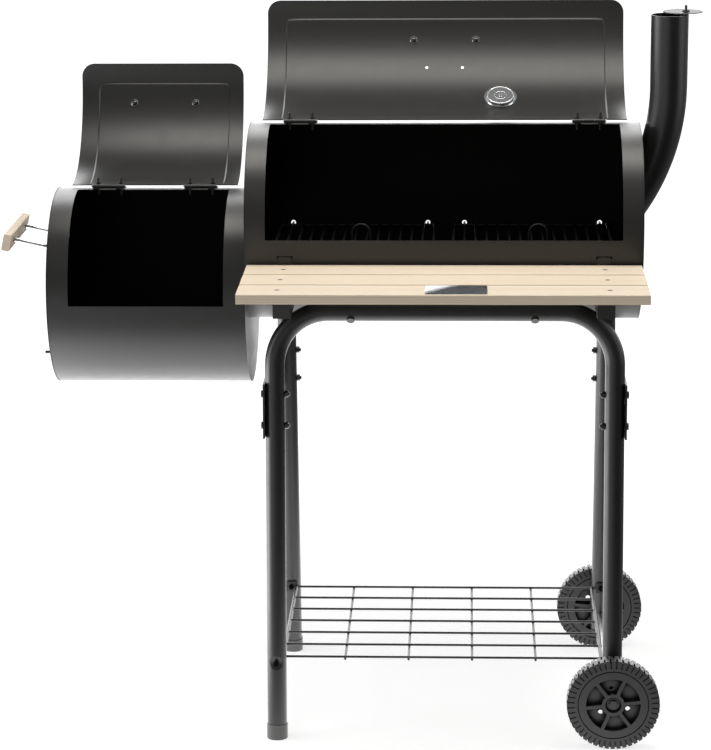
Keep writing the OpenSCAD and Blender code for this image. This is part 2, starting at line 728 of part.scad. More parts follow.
module lid_rods() for (s = [-1, 1]) translate([s * rod_gap / 2, 0, 0]) {
    handle_rod(lid_rod_len, 9);
    translate([0, 0, -lid_t - 3 * seat - pow(nut_flange, 2) / (8 * lid_r)]) dome_nut();
}

module main_lid_grip() color("#dcc7a0") place() open_lid(main_z, main_open)
    lid_handle_frame(main_z, main_handle_at, main_handle_x)
        translate([0, 0, lid_rod_len]) grip(lid_grip_len, rod_gap);

module main_lid_rods() color("#c9cbcd") place() open_lid(main_z, main_open)
    lid_handle_frame(main_z, main_handle_at, main_handle_x) lid_rods();

module firebox_lid_grip() color("#dcc7a0") place() open_lid(fire_z, fire_open)
    lid_handle_frame(fire_z, fire_handle_at, -fire_len + fire_handle_x)
        translate([0, 0, lid_rod_len]) grip(lid_grip_len, rod_gap);

module firebox_lid_rods() color("#c9cbcd") place() open_lid(fire_z, fire_open)
    lid_handle_frame(fire_z, fire_handle_at, -fire_len + fire_handle_x) lid_rods();

// Z runs along the side handle's rods, outwards, and X along the grip
module side_frame() translate([-fire_len, 0, side_rod_z]) rotate([0, side_slope - 90, 0])
    rotate([0, 0, 90]) children();

module side_rod_line(s) side_frame() translate([s * side_rod_gap / 2, 0, 0]) children();

side_shoulder = rod_d / 2 * tan(side_slope) + seat;

module side_grip() color("#dcc7a0") place() side_frame() translate([0, 0, side_rod_len])
    grip(side_grip_len, side_rod_gap);

module side_rods() color("#c9cbcd") place() {
    for (s = [-1, 1]) side_rod_line(s) {
        translate([0, 0, side_shoulder])
            cylinder(h = side_rod_len + grip_t * 0.5 - side_shoulder, d = rod_d, $fn = 40);
        translate([0, 0, -10]) cylinder(h = 12, d = m5, $fn = 32);
    }
    for (s = [-1, 1]) side_rod_line(s) translate([0, 0, -wall - nut_flange / 2 * tan(side_slope) - 0.4])
        dome_nut();
}

// ---- thermometer and plates ----

module on_thermo() place() open_lid(main_z, main_open) radial(main_z, thermo_at, thermo_x)
    children();

module thermometer_case() color("#b4b6b8") on_thermo() difference() {
    union() {
        translate([0, 0, lid_r - can_in]) cylinder(h = can_in + lid_t + 4, r = can_r, $fn = 96);
        translate([0, 0, lid_or + 2 * seat]) cylinder(h = bezel_t, r = bezel_r, $fn = 96);
        translate([0, 0, lid_r - can_in - 4]) cylinder(h = 4.5, d = 5, $fn = 40);
    }
    translate([0, 0, lid_r - can_in + 1]) cylinder(h = 30, r = can_r - 2, $fn = 96);
    translate([0, 0, lid_or + 1]) cylinder(h = 30, r = can_r - 1, $fn = 96);
}

module thermometer_ring() color("#c2c4c6") on_thermo() difference() {
    translate([0, 0, lid_r - 4.8]) cylinder(h = 2.3, r = can_r + 3, $fn = 96);
    translate([0, 0, lid_r - 8]) cylinder(h = 8, r = can_r + fit, $fn = 96);
}

module thermometer_dial() color("#f2f2ee") on_thermo() {
    translate([0, 0, lid_or + 1 + seat]) cylinder(h = 0.8, r = can_r - 1 - fit, $fn = 96);
    translate([0, 0, lid_or + 1.4]) cylinder(h = 3.6, d = 1.6, $fn = 32);
}

module thermometer_glass() color([0.85, 0.9, 0.92, 0.35]) on_thermo()
    translate([0, 0, lid_or + bezel_t - 2]) cylinder(h = 1.5, r = can_r - 1 - fit, $fn = 96);

module thermometer_needle() color("#b3261e") on_thermo() translate([0, 0, lid_or + 2.6])
    difference() {
        union() {
            cylinder(h = 1.6, d = 4.4, $fn = 40);
            translate([-6, -0.9, 0.3]) cube([can_r - 0.5, 1.8, 0.7]);
        }
        translate([0, 0, -1]) cylinder(h = 4, d = 1.6 + 2 * run, $fn = 32);
    }

module lid_plate() color("#bfc1c3") place() open_lid(main_z, main_open) difference() {
    sector(main_z, lid_or + seat, lid_or + seat + 0.8, main_handle_x - rivet_gap / 2 - 8,
        main_handle_x + rivet_gap / 2 + 8, badge_at - 4.4, badge_at + 4.4);
    for (s = [-1, 1]) radial(main_z, badge_at, main_handle_x + s * rivet_gap / 2)
        translate([0, 0, lid_or - 5]) cylinder(h = 10, d = 3 + 2 * bore_fit, $fn = 32);
}

module lid_plate_rivets() color("#9a9c9e") place() open_lid(main_z, main_open)
    for (s = [-1, 1]) radial(main_z, badge_at, main_handle_x + s * rivet_gap / 2) {
        translate([0, 0, lid_or + 0.8 + 3 * seat]) cylinder(h = 1, d = 5, $fn = 32);
        translate([0, 0, lid_r - 1.6]) cylinder(h = lid_t + 0.8 + 2, d = 3, $fn = 32);
        translate([0, 0, lid_r - 1.6]) cylinder(h = 1.45, d = 4.4, $fn = 32);
    }

// ---- grates ----

// A welded wire grate: cross wires below, bars from front to back on top of them
module wire_grate(x0, len, half, z) {
    thick = frame_wire / 2;
    thin = bar_wire / 2;
    reach = half + 1.2;
    for (y = [-half, half]) along_x(x0, y, z, len, thick, $fn = 24);
    along_x(x0, 0, z, len, thin, $fn = 24);
    for (x = [x0 + thick + 1, x0 + len - thick - 1])
        along_y(x, -reach, z + 2 * thick - weld, 2 * reach, thick, $fn = 24);
    bars = round((len - frame_wire) / bar_pitch);
    step = (len - frame_wire - 2) / bars;
    for (i = [1:bars - 1]) along_y(x0 + thick + 1 + i * step, -reach, z + thick + thin - weld,
        2 * reach, thin, $fn = 24);
}

module cooking_grate(x0) {
    half = chord(cook_drop, frame_wire);
    z = main_z - cook_drop;
    mid = x0 + cook_len / 2 + 10;
    arch_z = z + lift_loop_h - lift_loop_w / 2;
    wire_grate(x0, cook_len, half, z);
    for (h = hook_in) along_y(x0 + h, half - 14, hook_z, hook_y - half + 19, hook_d / 2, $fn = 24);
    for (s = [-1, 1]) translate([mid + s * lift_loop_w / 2, 0, z])
        cylinder(h = arch_z - z, d = hook_d, $fn = 24);
    translate([mid, 0, arch_z]) rotate([90, 0, 0]) rotate_extrude(angle = 180, $fn = 48)
        translate([lift_loop_w / 2, 0]) circle(d = hook_d, $fn = 24);
}

module cooking_grate_left() color("#3a3a3a") place() cooking_grate(cook_x[0]);

module cooking_grate_right() color("#3a3a3a") place() cooking_grate(cook_x[1]);

module charcoal_grate() color("#3a3a3a") place()
    wire_grate(end_flange + 12, main_len - 2 * end_flange - 24, chord(coal_drop, frame_wire),
        main_z - coal_drop);

module firebox_grate() color("#3a3a3a") place()
    wire_grate(-fire_len + end_flange + 4, fire_len - 2 * end_flange - 8,
        chord(fire_grate_drop, frame_wire), fire_z - fire_grate_drop);

// ---- table ----

bracket_bolt_at = -31;

module table_slats() color("#e3d2ae") place() for (y = slat_ys) difference() {
    translate([slat_x, y, slat_low + slat_t / 2]) rotate([90, 0, 90])
        linear_extrude(height = slat_len) rounded_rect(slat_w, slat_t, 1.5);
    for (x = front_bracket_x) translate([x, y, slat_low - 1]) {
        cylinder(h = slat_t + 2, d = m4 + 2 * bore_fit, $fn = 32);
        translate([0, 0, slat_t - 0.8]) cylinder(h = 3, d = 8.4, $fn = 40);
    }
}

module table_screws() color("#4a4a4a") place() for (x = front_bracket_x, y = slat_ys)
    translate([x, y, slat_low + slat_t - 1.8 + seat]) {
        bolt(m4, slat_t + 4, 8, 1.6);
        translate([0, 0, -slat_t + 1.8 - bracket_t - 3 * seat]) nut(m4, 7, 2);
    }

module bracket(x) difference() {
    union() {
        sector(main_z, barrel_r + seat + 0.15, barrel_r + seat + bracket_t - 0.15, x - tab_w / 2,
            x + tab_w / 2, -22, -11.4);
        sector(main_z, barrel_r - 5, barrel_r + seat + bracket_t - 0.4, x - tab_w / 2 + 0.3,
            x + tab_w / 2 - 0.3, -11.6, -11);
        sector(main_z, barrel_r + seat, barrel_r + seat + bracket_t, x - bracket_w / 2 + 0.3,
            x + bracket_w / 2 - 0.3, -40, -21);
        difference() {
            translate([x - bracket_w / 2, web_front, web_low])
                cube([bracket_w, -web_front - 105, slat_low - seat - web_low]);
            translate([x - bracket_w / 2 + bracket_t, web_front + bracket_t, web_low - 1])
                cube([bracket_w - 2 * bracket_t, 200, slat_low - seat - web_low + 1 - bracket_t]);
            along_x(x - 50, 0, main_z, 100, barrel_r + seat + bracket_t / 2, $fn = 180);
        }
        translate([x - bracket_w / 2, web_front, web_low]) cube([bracket_w, 8, bracket_t]);
        translate([x - bracket_w / 2, shelf_front + 8, slat_low - seat - bracket_t])
            cube([bracket_w, web_front - shelf_front - 8 + 1, bracket_t]);
    }
    radial(main_z, bracket_bolt_at, x) translate([0, 0, barrel_r - 5])
        cylinder(h = 12, d = m6 + 2 * bore_fit, $fn = 32);
    for (y = slat_ys) translate([x, y, slat_low - 10])
        cylinder(h = 20, d = m4 + 2 * bore_fit, $fn = 32);
}

module table_brackets() color("#262626") place() for (x = front_bracket_x) bracket(x);

module table_plate() color("#c4c6c8") place()
    translate([(plate_x[0] + plate_x[1]) / 2, slat_ys[2], table_z + seat])
        linear_extrude(height = 0.8) rounded_rect(plate_x[1] - plate_x[0], slat_w - 10, 4);

// ---- stand ----

// X runs along the top tube from the left leg, Z along the legs, with the top tube at z = 0
module rail_plane(side) translate([leg_x, side * rail_y, rail_z])
    rotate([side * leg_tilt, 0, 0]) children();

module frame_path(r, extra) {
    translate([0, 0, -leg_drop - extra]) cylinder(h = leg_drop - tube_bend + extra, r = r);
    translate([tube_bend, 0, -tube_bend]) rotate([90, 0, 0]) rotate([0, 0, 90])
        rotate_extrude(angle = 90, $fn = 120) translate([tube_bend, 0]) circle(r = r);
    along_x(tube_bend, 0, 0, leg_span / 2 - tube_bend + extra, r);
}

// One half of a frame: a leg, a bend and half of the top tube, open at both ends
module half_frame(side, right) difference() {
    rail_plane(side) translate([right ? leg_span : 0, 0, 0]) mirror([right ? 1 : 0, 0, 0])
        difference() {
            frame_path(tube_r, 0);
            frame_path(tube_r - tube_wall, 5);
        }
    translate([-far, -far, -far]) cube([3 * far, 2 * far, far + (right ? short_leg_z : foot_seat)]);
    for (x = screw_xs) frame_screw_line(x, side > 0 ? 1 : 0) translate([0, 0, rail_dist - 30])
        cylinder(h = 60, d = m6 + 2 * bore_fit, $fn = 32);
    for (x = leg_xs, z = brace_bolt_z) along_x(x - 30, side * leg_y(z), z, 60, m6 / 2 + bore_fit);
    for (x = leg_xs) along_y(x, side * leg_y(shelf_z) - 30, shelf_z, 60, m5 / 2 + bore_fit);
    if (right) along_y(leg_xs[1], side * leg_y(axle_z) - 40, axle_z, 80, axle_d / 2 + fit);
}

// The line from the barrel's axis through a top tube; Z points out from the axis
module frame_screw_line(x, rear) mirror([0, rear, 0]) radial(main_z, rail_at, x) children();

module leg_frame_front_left() color("#2d2c2b") place() half_frame(-1, false);

module leg_frame_front_right() color("#2d2c2b") place() half_frame(-1, true);

module leg_frame_rear_left() color("#2d2c2b") place() half_frame(1, false);

module leg_frame_rear_right() color("#2d2c2b") place() half_frame(1, true);

module frame_sleeves() color("#4a4a4a") place() for (side = [-1, 1]) rail_plane(side)
    difference() {
        along_x(leg_span / 2 - sleeve_len / 2, 0, 0, sleeve_len, tube_r - tube_wall - fit);
        along_x(leg_span / 2 - sleeve_len, 0, 0, 2 * sleeve_len, tube_r - 2 * tube_wall - fit);
    }

module frame_spacers() color("#232323") place() for (x = screw_xs, rear = [0, 1]) difference() {
    frame_screw_line(x, rear) translate([0, 0, barrel_r - 3])
        cylinder(h = rail_dist - barrel_r, d = 15, $fn = 48);
    along_x(x - 50, 0, main_z, 100, barrel_r + 2 * seat, $fn = 180);
    along_x(x - 50, (rear ? 1 : -1) * rail_y, rail_z, 100, tube_r + 2 * seat, $fn = 64);
    frame_screw_line(x, rear) translate([0, 0, barrel_r - 20])
        cylinder(h = 80, d = m6 + 2 * bore_fit, $fn = 32);
}

module frame_bolts() color("#1a1a1a") place() {
    for (x = screw_xs, rear = [0, 1]) frame_screw_line(x, rear) {
        translate([0, 0, rail_dist + tube_r + 2 * seat])
            bolt(m6, rail_dist + tube_r - bore_r + 8, 12.5, 3.4);
        translate([0, 0, bore_r - 4 * seat]) nut(m6, 10, 5);
    }
    for (x = front_bracket_x) radial(main_z, bracket_bolt_at, x) {
        translate([0, 0, barrel_r + bracket_t + 4 * seat]) bolt(m6, 12, 11, 3.4);
        translate([0, 0, bore_r - 4 * seat]) nut(m6, 10, 5);
    }
}

module brace_outline() polygon([
    [-leg_y(brace_z - brace_h / 2) - tube_r, brace_z - brace_h / 2],
    [leg_y(brace_z - brace_h / 2) + tube_r, brace_z - brace_h / 2],
    [leg_y(brace_z + brace_h / 2) + tube_r, brace_z + brace_h / 2],
    [-leg_y(brace_z + brace_h / 2) - tube_r, brace_z + brace_h / 2]]);

brace_xs = [leg_xs[0] - tube_r - brace_t - 2 * seat, leg_xs[1] + tube_r + 2 * seat];

module side_braces() color("#262525") place() for (x = brace_xs) difference() {
    translate([x, 0, 0]) rotate([90, 0, 90]) linear_extrude(height = brace_t) brace_outline();
    for (side = [-1, 1], z = brace_bolt_z) along_x(x - 5, side * leg_y(z), z, 20,
        m6 / 2 + bore_fit);
}

module brace_bolts() color("#1a1a1a") place() for (right = [0, 1], side = [-1, 1],
    z = brace_bolt_z) translate([leg_xs[right], side * leg_y(z), z])
        mirror([right, 0, 0]) rotate([0, -90, 0]) {
            translate([0, 0, tube_r + brace_t + 4 * seat]) bolt(m6, 2 * tube_r + brace_t + 8, 12, 3.4);
            translate([0, 0, -tube_r - 4 * seat]) nut(m6, 10, 5);
        }

// A plastic cap on the end of a tube, cut off level with the ground below
module cap(side, x, height, r, low) intersection() {
    rail_plane(side) translate([x, 0, -leg_drop - 10]) difference() {
        cylinder(h = height + 10, r = r, $fn = 64);
        difference() {
            translate([0, 0, 14]) cylinder(h = height, r = tube_r + fit, $fn = 64);
            translate([0, 0, 14]) cylinder(h = height, r = tube_r - tube_wall - fit, $fn = 64);
        }
        translate([0, 0, 14]) cylinder(h = height, r = tube_r - tube_wall - 3, $fn = 64);
    }
    translate([-far, -far, low]) cube([3 * far, 2 * far, far]);
}

module foot_caps() color("#6a6b6c") place() for (side = [-1, 1]) cap(side, 0, foot_h, foot_r, 0);

module leg_end_caps() color("#202020") place() for (side = [-1, 1]) intersection() {
    rail_plane(side) translate([leg_span, 0, -leg_drop]) union() {
        cylinder(h = short_leg_z / cos(leg_tilt) + 14, r = tube_r - tube_wall - fit, $fn = 64);
        cylinder(h = short_leg_z / cos(leg_tilt) - tube_r * slope, r = tube_r, $fn = 64);
    }
    translate([-far, -far, short_leg_z - 5]) cube([3 * far, 2 * far, 20]);
}

// ---- shelf ----

module bottom_shelf() color("#1f1f1f") place() {
    r = shelf_wire / 2;
    end_r = shelf_wire * 0.75;
    lane = shelf_lanes[6];
    reach = lane + r - 0.4;
    for (y = shelf_lanes) along_x(shelf_ends[0], y, shelf_z, shelf_ends[1] - shelf_ends[0], r,
        $fn = 24);
    for (x = shelf_ends) along_y(x, -reach, shelf_z - 1, 2 * reach, end_r, $fn = 24);
    for (i = [0:3]) along_y(shelf_ends[0] + cross_in + i * cross_pitch, -reach,
        shelf_z - shelf_wire + weld, 2 * reach, r, $fn = 24);
    for (side = [-1, 1], x = leg_xs) difference() {
        translate([x - 9, side > 0 ? lane - 1 : -tab_y, shelf_z - 9])
            cube([x < mid_x ? 20 : 18, tab_y - lane + 1, 18]);
        along_y(x, -300, shelf_z, 600, m5 / 2 + bore_fit, $fn = 32);
    }
    translate([shelf_ends[1] - 1, -lane - r, shelf_z - 3]) cube([12, 2, 6]);
    translate([shelf_ends[1] - 1, lane + r - 2, shelf_z - 3]) cube([12, 2, 6]);
}

module shelf_screws() color("#1a1a1a") place() for (x = leg_xs, side = [-1, 1])
    translate([x, side * (leg_y(shelf_z) + tube_r / cos(leg_tilt) + 1.2), shelf_z])
        rotate([side * -90, 0, 0]) {
            bolt(m5, 2 * tube_r + 16, 9, 2.6);
            translate([0, 0, -2 * tube_r / cos(leg_tilt) - 2 * 1.2 - (tab_y - shelf_lanes[6] + 1) - 0.3])
                nut(m5, 8, 4);
        }

// ---- wheels ----

module axle() color("#8d8f91") place() along_y(leg_xs[1], -wheel_y - wheel_w / 2 + 2, axle_z,
    2 * wheel_y + wheel_w - 4, axle_d / 2, $fn = 48);

module tread_cuts() for (row = [0, 1], i = [0:lugs - 1])
    rotate([0, 0, (i + row / 2) * 360 / lugs]) {
        translate([wheel_r - 2.7, -1.5, row * wheel_w / 2 + (row ? 1.5 : -1)])
            cube([8, 3, wheel_w / 2 - 0.5]);
        translate([wheel_r - 12.5, -1.2, row * (wheel_w - 1.4) - (row ? 0 : 1)])
            cube([11.5, 2.4, 2.4]);
    }

// A moulded wheel on the Z axis with its outer face at z = wheel_w
module wheel() difference() {
    cylinder(h = wheel_w, r = wheel_r, $fn = 144);
    for (z = [-1, wheel_w - pocket_d]) translate([0, 0, z]) difference() {
        cylinder(h = pocket_d + 1, r = 44, $fn = 96);
        translate([0, 0, -1]) cylinder(h = pocket_d + 3, r = hub_r, $fn = 64);
        for (i = [0:5]) rotate([0, 0, 7 + 60 * i]) translate([hub_r - 2, -2.8, -1])
            cube([30, 5.6, pocket_d + 3]);
    }
    for (z = [-1, wheel_w - 1.5]) translate([0, 0, z]) difference() {
        cylinder(h = 2.5, r = 57.6, $fn = 96);
        translate([0, 0, -1]) cylinder(h = 5, r = 56, $fn = 96);
    }
    translate([0, 0, wheel_w - recess_h]) cylinder(h = 10, d = recess_d, $fn = 64);
    translate([0, 0, -1]) cylinder(h = wheel_w + 2, d = axle_d + 2 * run, $fn = 48);
    for (a = [98, 218, 338]) rotate([0, 0, a]) translate([25.5, 0, -1])
        cylinder(h = wheel_w + 2, d = 8, $fn = 40);
    tread_cuts();
}

module wheel_front() color("#2f3031") place()
    translate([leg_xs[1], -wheel_y + wheel_w / 2, axle_z]) rotate([90, 0, 0]) wheel();

module wheel_rear() color("#2f3031") place()
    translate([leg_xs[1], wheel_y - wheel_w / 2, axle_z]) rotate([-90, 0, 0]) wheel();

module axle_nuts() color("#2a2a2a") place() for (s = [-1, 1]) {
    translate([leg_xs[1], s * (wheel_y + wheel_w / 2 - recess_h + 0.4), axle_z])
        rotate([s * -90, 0, 0]) difference() {
            union() {
                cylinder(h = 1.2, d = 20, $fn = 48);
                cylinder(h = nut_h, d = 15, $fn = 6);
            }
            translate([0, 0, -1]) cylinder(h = nut_h - 0.2, d = axle_d + 2 * fit, $fn = 48);
        }
    translate([leg_xs[1], s * (wheel_y - wheel_w / 2 - wheel_gap + 0.9), axle_z])
        rotate([s * -90, 0, 0]) difference() {
            cylinder(h = wheel_gap - 1.3, d = 16, $fn = 48);
            translate([0, 0, -1]) cylinder(h = wheel_gap + 2, d = axle_d + 2 * fit, $fn = 48);
        }
}

main_barrel();
main_end_left();
main_end_right();
firebox_barrel();
firebox_end_left();
firebox_end_right();
end_plate_bolts();
chimney();
chimney_damper();
damper_stud();
air_damper();
air_damper_bolt();
main_lid();
firebox_lid();
hinge_fixed_leaves();
main_lid_leaves();
firebox_lid_leaves();
hinge_pins();
hinge_bolts();
main_lid_bolts();
firebox_lid_bolts();
main_lid_grip();
main_lid_rods();
firebox_lid_grip();
firebox_lid_rods();
side_grip();
side_rods();
thermometer_case();
thermometer_ring();
thermometer_dial();
thermometer_glass();
thermometer_needle();
lid_plate();
lid_plate_rivets();
cooking_grate_left();
cooking_grate_right();
charcoal_grate();
firebox_grate();
table_slats();
table_brackets();
table_screws();
table_plate();
leg_frame_front_left();
leg_frame_front_right();
leg_frame_rear_left();
leg_frame_rear_right();
frame_sleeves();
frame_spacers();
frame_bolts();
side_braces();
brace_bolts();
foot_caps();
leg_end_caps();
bottom_shelf();
shelf_screws();
axle();
wheel_front();
wheel_rear();
axle_nuts();
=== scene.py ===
import json
import math

import bmesh
import bpy
from mathutils import Matrix, Vector


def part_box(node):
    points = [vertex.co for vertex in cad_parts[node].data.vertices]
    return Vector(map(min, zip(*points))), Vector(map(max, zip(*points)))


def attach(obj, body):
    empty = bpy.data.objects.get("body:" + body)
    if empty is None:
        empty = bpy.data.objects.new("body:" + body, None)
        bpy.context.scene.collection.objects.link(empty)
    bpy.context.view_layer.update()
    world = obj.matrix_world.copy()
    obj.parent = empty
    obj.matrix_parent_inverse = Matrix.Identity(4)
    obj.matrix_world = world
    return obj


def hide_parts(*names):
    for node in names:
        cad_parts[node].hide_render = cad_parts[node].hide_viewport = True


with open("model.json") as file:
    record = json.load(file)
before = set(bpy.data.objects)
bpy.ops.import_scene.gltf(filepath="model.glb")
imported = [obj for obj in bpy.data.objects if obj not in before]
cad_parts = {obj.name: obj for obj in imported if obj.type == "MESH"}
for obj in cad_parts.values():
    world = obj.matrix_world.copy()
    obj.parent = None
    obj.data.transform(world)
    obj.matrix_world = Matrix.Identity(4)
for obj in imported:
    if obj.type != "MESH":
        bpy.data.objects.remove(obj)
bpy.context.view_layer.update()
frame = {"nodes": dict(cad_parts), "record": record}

NODES = frame["nodes"]
SLOT_OF = {s["node"]: s["material_slot"] for s in frame["record"]["subparts"]}

# Sizes of the smoker in metres, in the smoker's own frame, whose zero lies at the left end of
# the cooking barrel, on its axis and on the ground. SHIFT takes them to the frame of the parts.
SHIFT = Vector((-0.16708412, 0.06371086, 0.0))
BARREL_LEN = 0.635
BARREL_R = 0.160


def place(x, y, z):
    """A point given in the smoker's own frame, in metres."""
    return Vector((x, y, z)) + SHIFT


# ---------------------------------------------------------------- node helpers

WHITE = (1, 1, 1, 1)

class Tree:
    """Builds one node tree, with short calls for adding and joining nodes."""

    def __init__(self, tree):
        self.tree = tree
        self.column = 0

    def add(self, kind, **values):
        node = self.tree.nodes.new(kind)
        node.location = (self.column * 190, 0)
        self.column += 1
        for key, value in values.items():
            setattr(node, key, value)
        return node

    def link(self, source, target):
        self.tree.links.new(source, target)

    def math(self, operation, a, b=None, clamp=False):
        node = self.add("ShaderNodeMath", operation=operation, use_clamp=clamp)
        for socket, value in zip(node.inputs, (a, b)):
            self.feed(socket, value)
        return node.outputs[0]

    def feed(self, socket, value):
        if value is None:
            return
        if isinstance(value, bpy.types.NodeSocket):
            self.link(value, socket)
        else:
            socket.default_value = value

    def noise(self, vector, scale, detail=3.0, rough=0.5):
        node = self.add("ShaderNodeTexNoise")
        self.feed(node.inputs["Vector"], vector)
        self.feed(node.inputs["Scale"], scale)
        self.feed(node.inputs["Detail"], detail)
        self.feed(node.inputs["Roughness"], rough)
        return node.outputs["Fac"]

    def spread(self, value, low, high, to_low, to_high):
        """Eases from to_low to to_high while the value goes from low to high."""
        node = self.add("ShaderNodeMapRange", interpolation_type="SMOOTHSTEP")
        self.feed(node.inputs["Value"], value)
        self.feed(node.inputs["From Min"], low)
        self.feed(node.inputs["From Max"], high)
        self.feed(node.inputs["To Min"], to_low)
        self.feed(node.inputs["To Max"], to_high)
        return node.outputs["Result"]

    def mix_color(self, factor, a, b):
        node = self.add("ShaderNodeMix", data_type="RGBA", blend_type="MIX")
        self.feed(node.inputs[0], factor)
        self.feed(node.inputs[6], a)
        self.feed(node.inputs[7], b)
        return node.outputs[2]

    def shaded(self, colour, level):
        """The colour times a level."""
        node = self.add("ShaderNodeVectorMath", operation="SCALE")
        self.feed(node.inputs[0], colour)
        self.feed(node.inputs["Scale"], level)
        return node.outputs[0]

    def swing(self, value, middle, amount):
        """How far the value lies from the middle, times an amount."""
        return self.math("MULTIPLY", self.math("SUBTRACT", value, middle), amount)

    def parts(self, vector):
        """The X, Y and Z of a vector."""
        node = self.add("ShaderNodeSeparateXYZ")
        self.link(vector, node.inputs[0])
        return node.outputs

    def apart(self, a, from_a, b, from_b):
        """Distance of the point (a, b) from the point (from_a, from_b)."""
        da = self.math("SUBTRACT", a, from_a)
        db = self.math("SUBTRACT", b, from_b)
        return self.math("SQRT", self.math("ADD", self.math("MULTIPLY", da, da),
                                           self.math("MULTIPLY", db, db)))

    def emission(self):
        """A white glow, of a strength still to be fed."""
        node = self.add("ShaderNodeEmission")
        node.inputs["Color"].default_value = WHITE
        return node

    def bump(self, height, strength, distance, normal=None):
        node = self.add("ShaderNodeBump")
        self.feed(node.inputs["Height"], height)
        self.feed(node.inputs["Strength"], strength)
        self.feed(node.inputs["Distance"], distance)
        if normal is not None:
            self.feed(node.inputs["Normal"], normal)
        return node.outputs["Normal"]

    def place(self):
        """Place on the piece in metres, as it lies at rest."""
        return self.add("ShaderNodeTexCoord").outputs["Object"]

    def stretched(self, vector, scale):
        node = self.add("ShaderNodeMapping", vector_type="POINT")
        self.feed(node.inputs["Vector"], vector)
        node.inputs["Scale"].default_value = scale
        return node.outputs["Vector"]


def rgb(hex_code):
    """A colour as it is seen, given in hex, as the linear values a shader takes."""
    parts = [int(hex_code[i:i + 2], 16) / 255 for i in (1, 3, 5)]
    line = [c / 12.92 if c <= 0.04045 else ((c + 0.055) / 1.055) ** 2.4 for c in parts]
    return (*line, 1.0)


def group(name, inputs, outputs):
    """A shader node group with these named inputs and outputs, and the tree helper for it."""
    tree = bpy.data.node_groups.new(name, "ShaderNodeTree")
    for label, kind, value in inputs:
        socket = tree.interface.new_socket(label, in_out="INPUT", socket_type=kind)
        if value is not None:
            socket.default_value = value
    for label, kind in outputs:
        tree.interface.new_socket(label, in_out="OUTPUT", socket_type=kind)
    t = Tree(tree)
    entry = t.add("NodeGroupInput")
    leave = t.add("NodeGroupOutput")
    return tree, t, entry.outputs, leave.inputs


VEC, NUM, COL = "NodeSocketVector", "NodeSocketFloat", "NodeSocketColor"


def coat_texture_group():
    """Fine orange-peel texture and soft cloudiness of a baked powder coat."""
    tree, t, given, put = group(
        "coat_texture",
        [("Place", VEC, None), ("Peel Size", NUM, 900.0), ("Roughness", NUM, 0.42),
         ("Colour", COL, (0.03, 0.03, 0.03, 1)), ("Cloud Amount", NUM, 0.12)],
        [("Colour", COL), ("Roughness", NUM), ("Height", NUM)])
    peel = t.noise(given["Place"], given["Peel Size"], 2.0, 0.55)
    speck = t.noise(given["Place"], 2600.0, 2.0, 0.6)
    cloud = t.noise(given["Place"], 14.0, 4.0, 0.6)
    rub = t.noise(given["Place"], 60.0, 5.0, 0.65)
    clouded = t.swing(cloud, 0.5, given["Cloud Amount"])
    level = t.math("ADD", t.math("ADD", clouded, t.swing(speck, 0.5, 0.16)), 1.0)
    t.feed(put["Colour"], t.shaded(given["Colour"], level))
    rough = t.math("ADD", given["Roughness"], t.swing(rub, 0.5, 0.14), clamp=True)
    t.feed(put["Roughness"], rough)
    t.feed(put["Height"], t.math("ADD", peel, t.math("MULTIPLY", speck, 0.35)))
    return tree


def dust_group():
    """A thin veil of pale dust, thicker in patches, on faces that look upwards."""
    tree, t, given, put = group(
        "settled_dust",
        [("Place", VEC, None), ("Amount", NUM, 0.15), ("Base", COL, (0.03, 0.03, 0.03, 1)),
         ("Dust", COL, (0.32, 0.30, 0.27, 1))],
        [("Colour", COL)])
    up = t.parts(t.add("ShaderNodeNewGeometry").outputs["Normal"])
    facing = t.spread(up["Z"], 0.2, 0.95, 0.0, 1.0)
    patch = t.spread(t.noise(given["Place"], 35.0, 5.0, 0.65), 0.4, 0.75, 0.1, 1.0)
    mask = t.math("MULTIPLY", t.math("MULTIPLY", facing, patch), given["Amount"], clamp=True)
    t.feed(put["Colour"], t.mix_color(mask, given["Base"], given["Dust"]))
    return tree


def inside_group():
    """Where painted shade goes inside a barrel lying along X: one inside it, nought outside it,
    by the distance from its axis.
    """
    tree, t, given, put = group(
        "barrel_inside",
        [("Place", VEC, None), ("Axis Y", NUM, 0.0), ("Axis Z", NUM, 0.0),
         ("Bore Radius", NUM, 0.1585), ("From X", NUM, -1.0), ("To X", NUM, 1.0)],
        [("Mask", NUM)])
    part = t.parts(given["Place"])
    far = t.apart(part["Y"], given["Axis Y"], part["Z"], given["Axis Z"])
    within = t.math("LESS_THAN", far, given["Bore Radius"])
    after = t.math("GREATER_THAN", part["X"], given["From X"])
    before = t.math("LESS_THAN", part["X"], given["To X"])
    t.feed(put["Mask"], t.math("MULTIPLY", within, t.math("MULTIPLY", after, before)))
    return tree


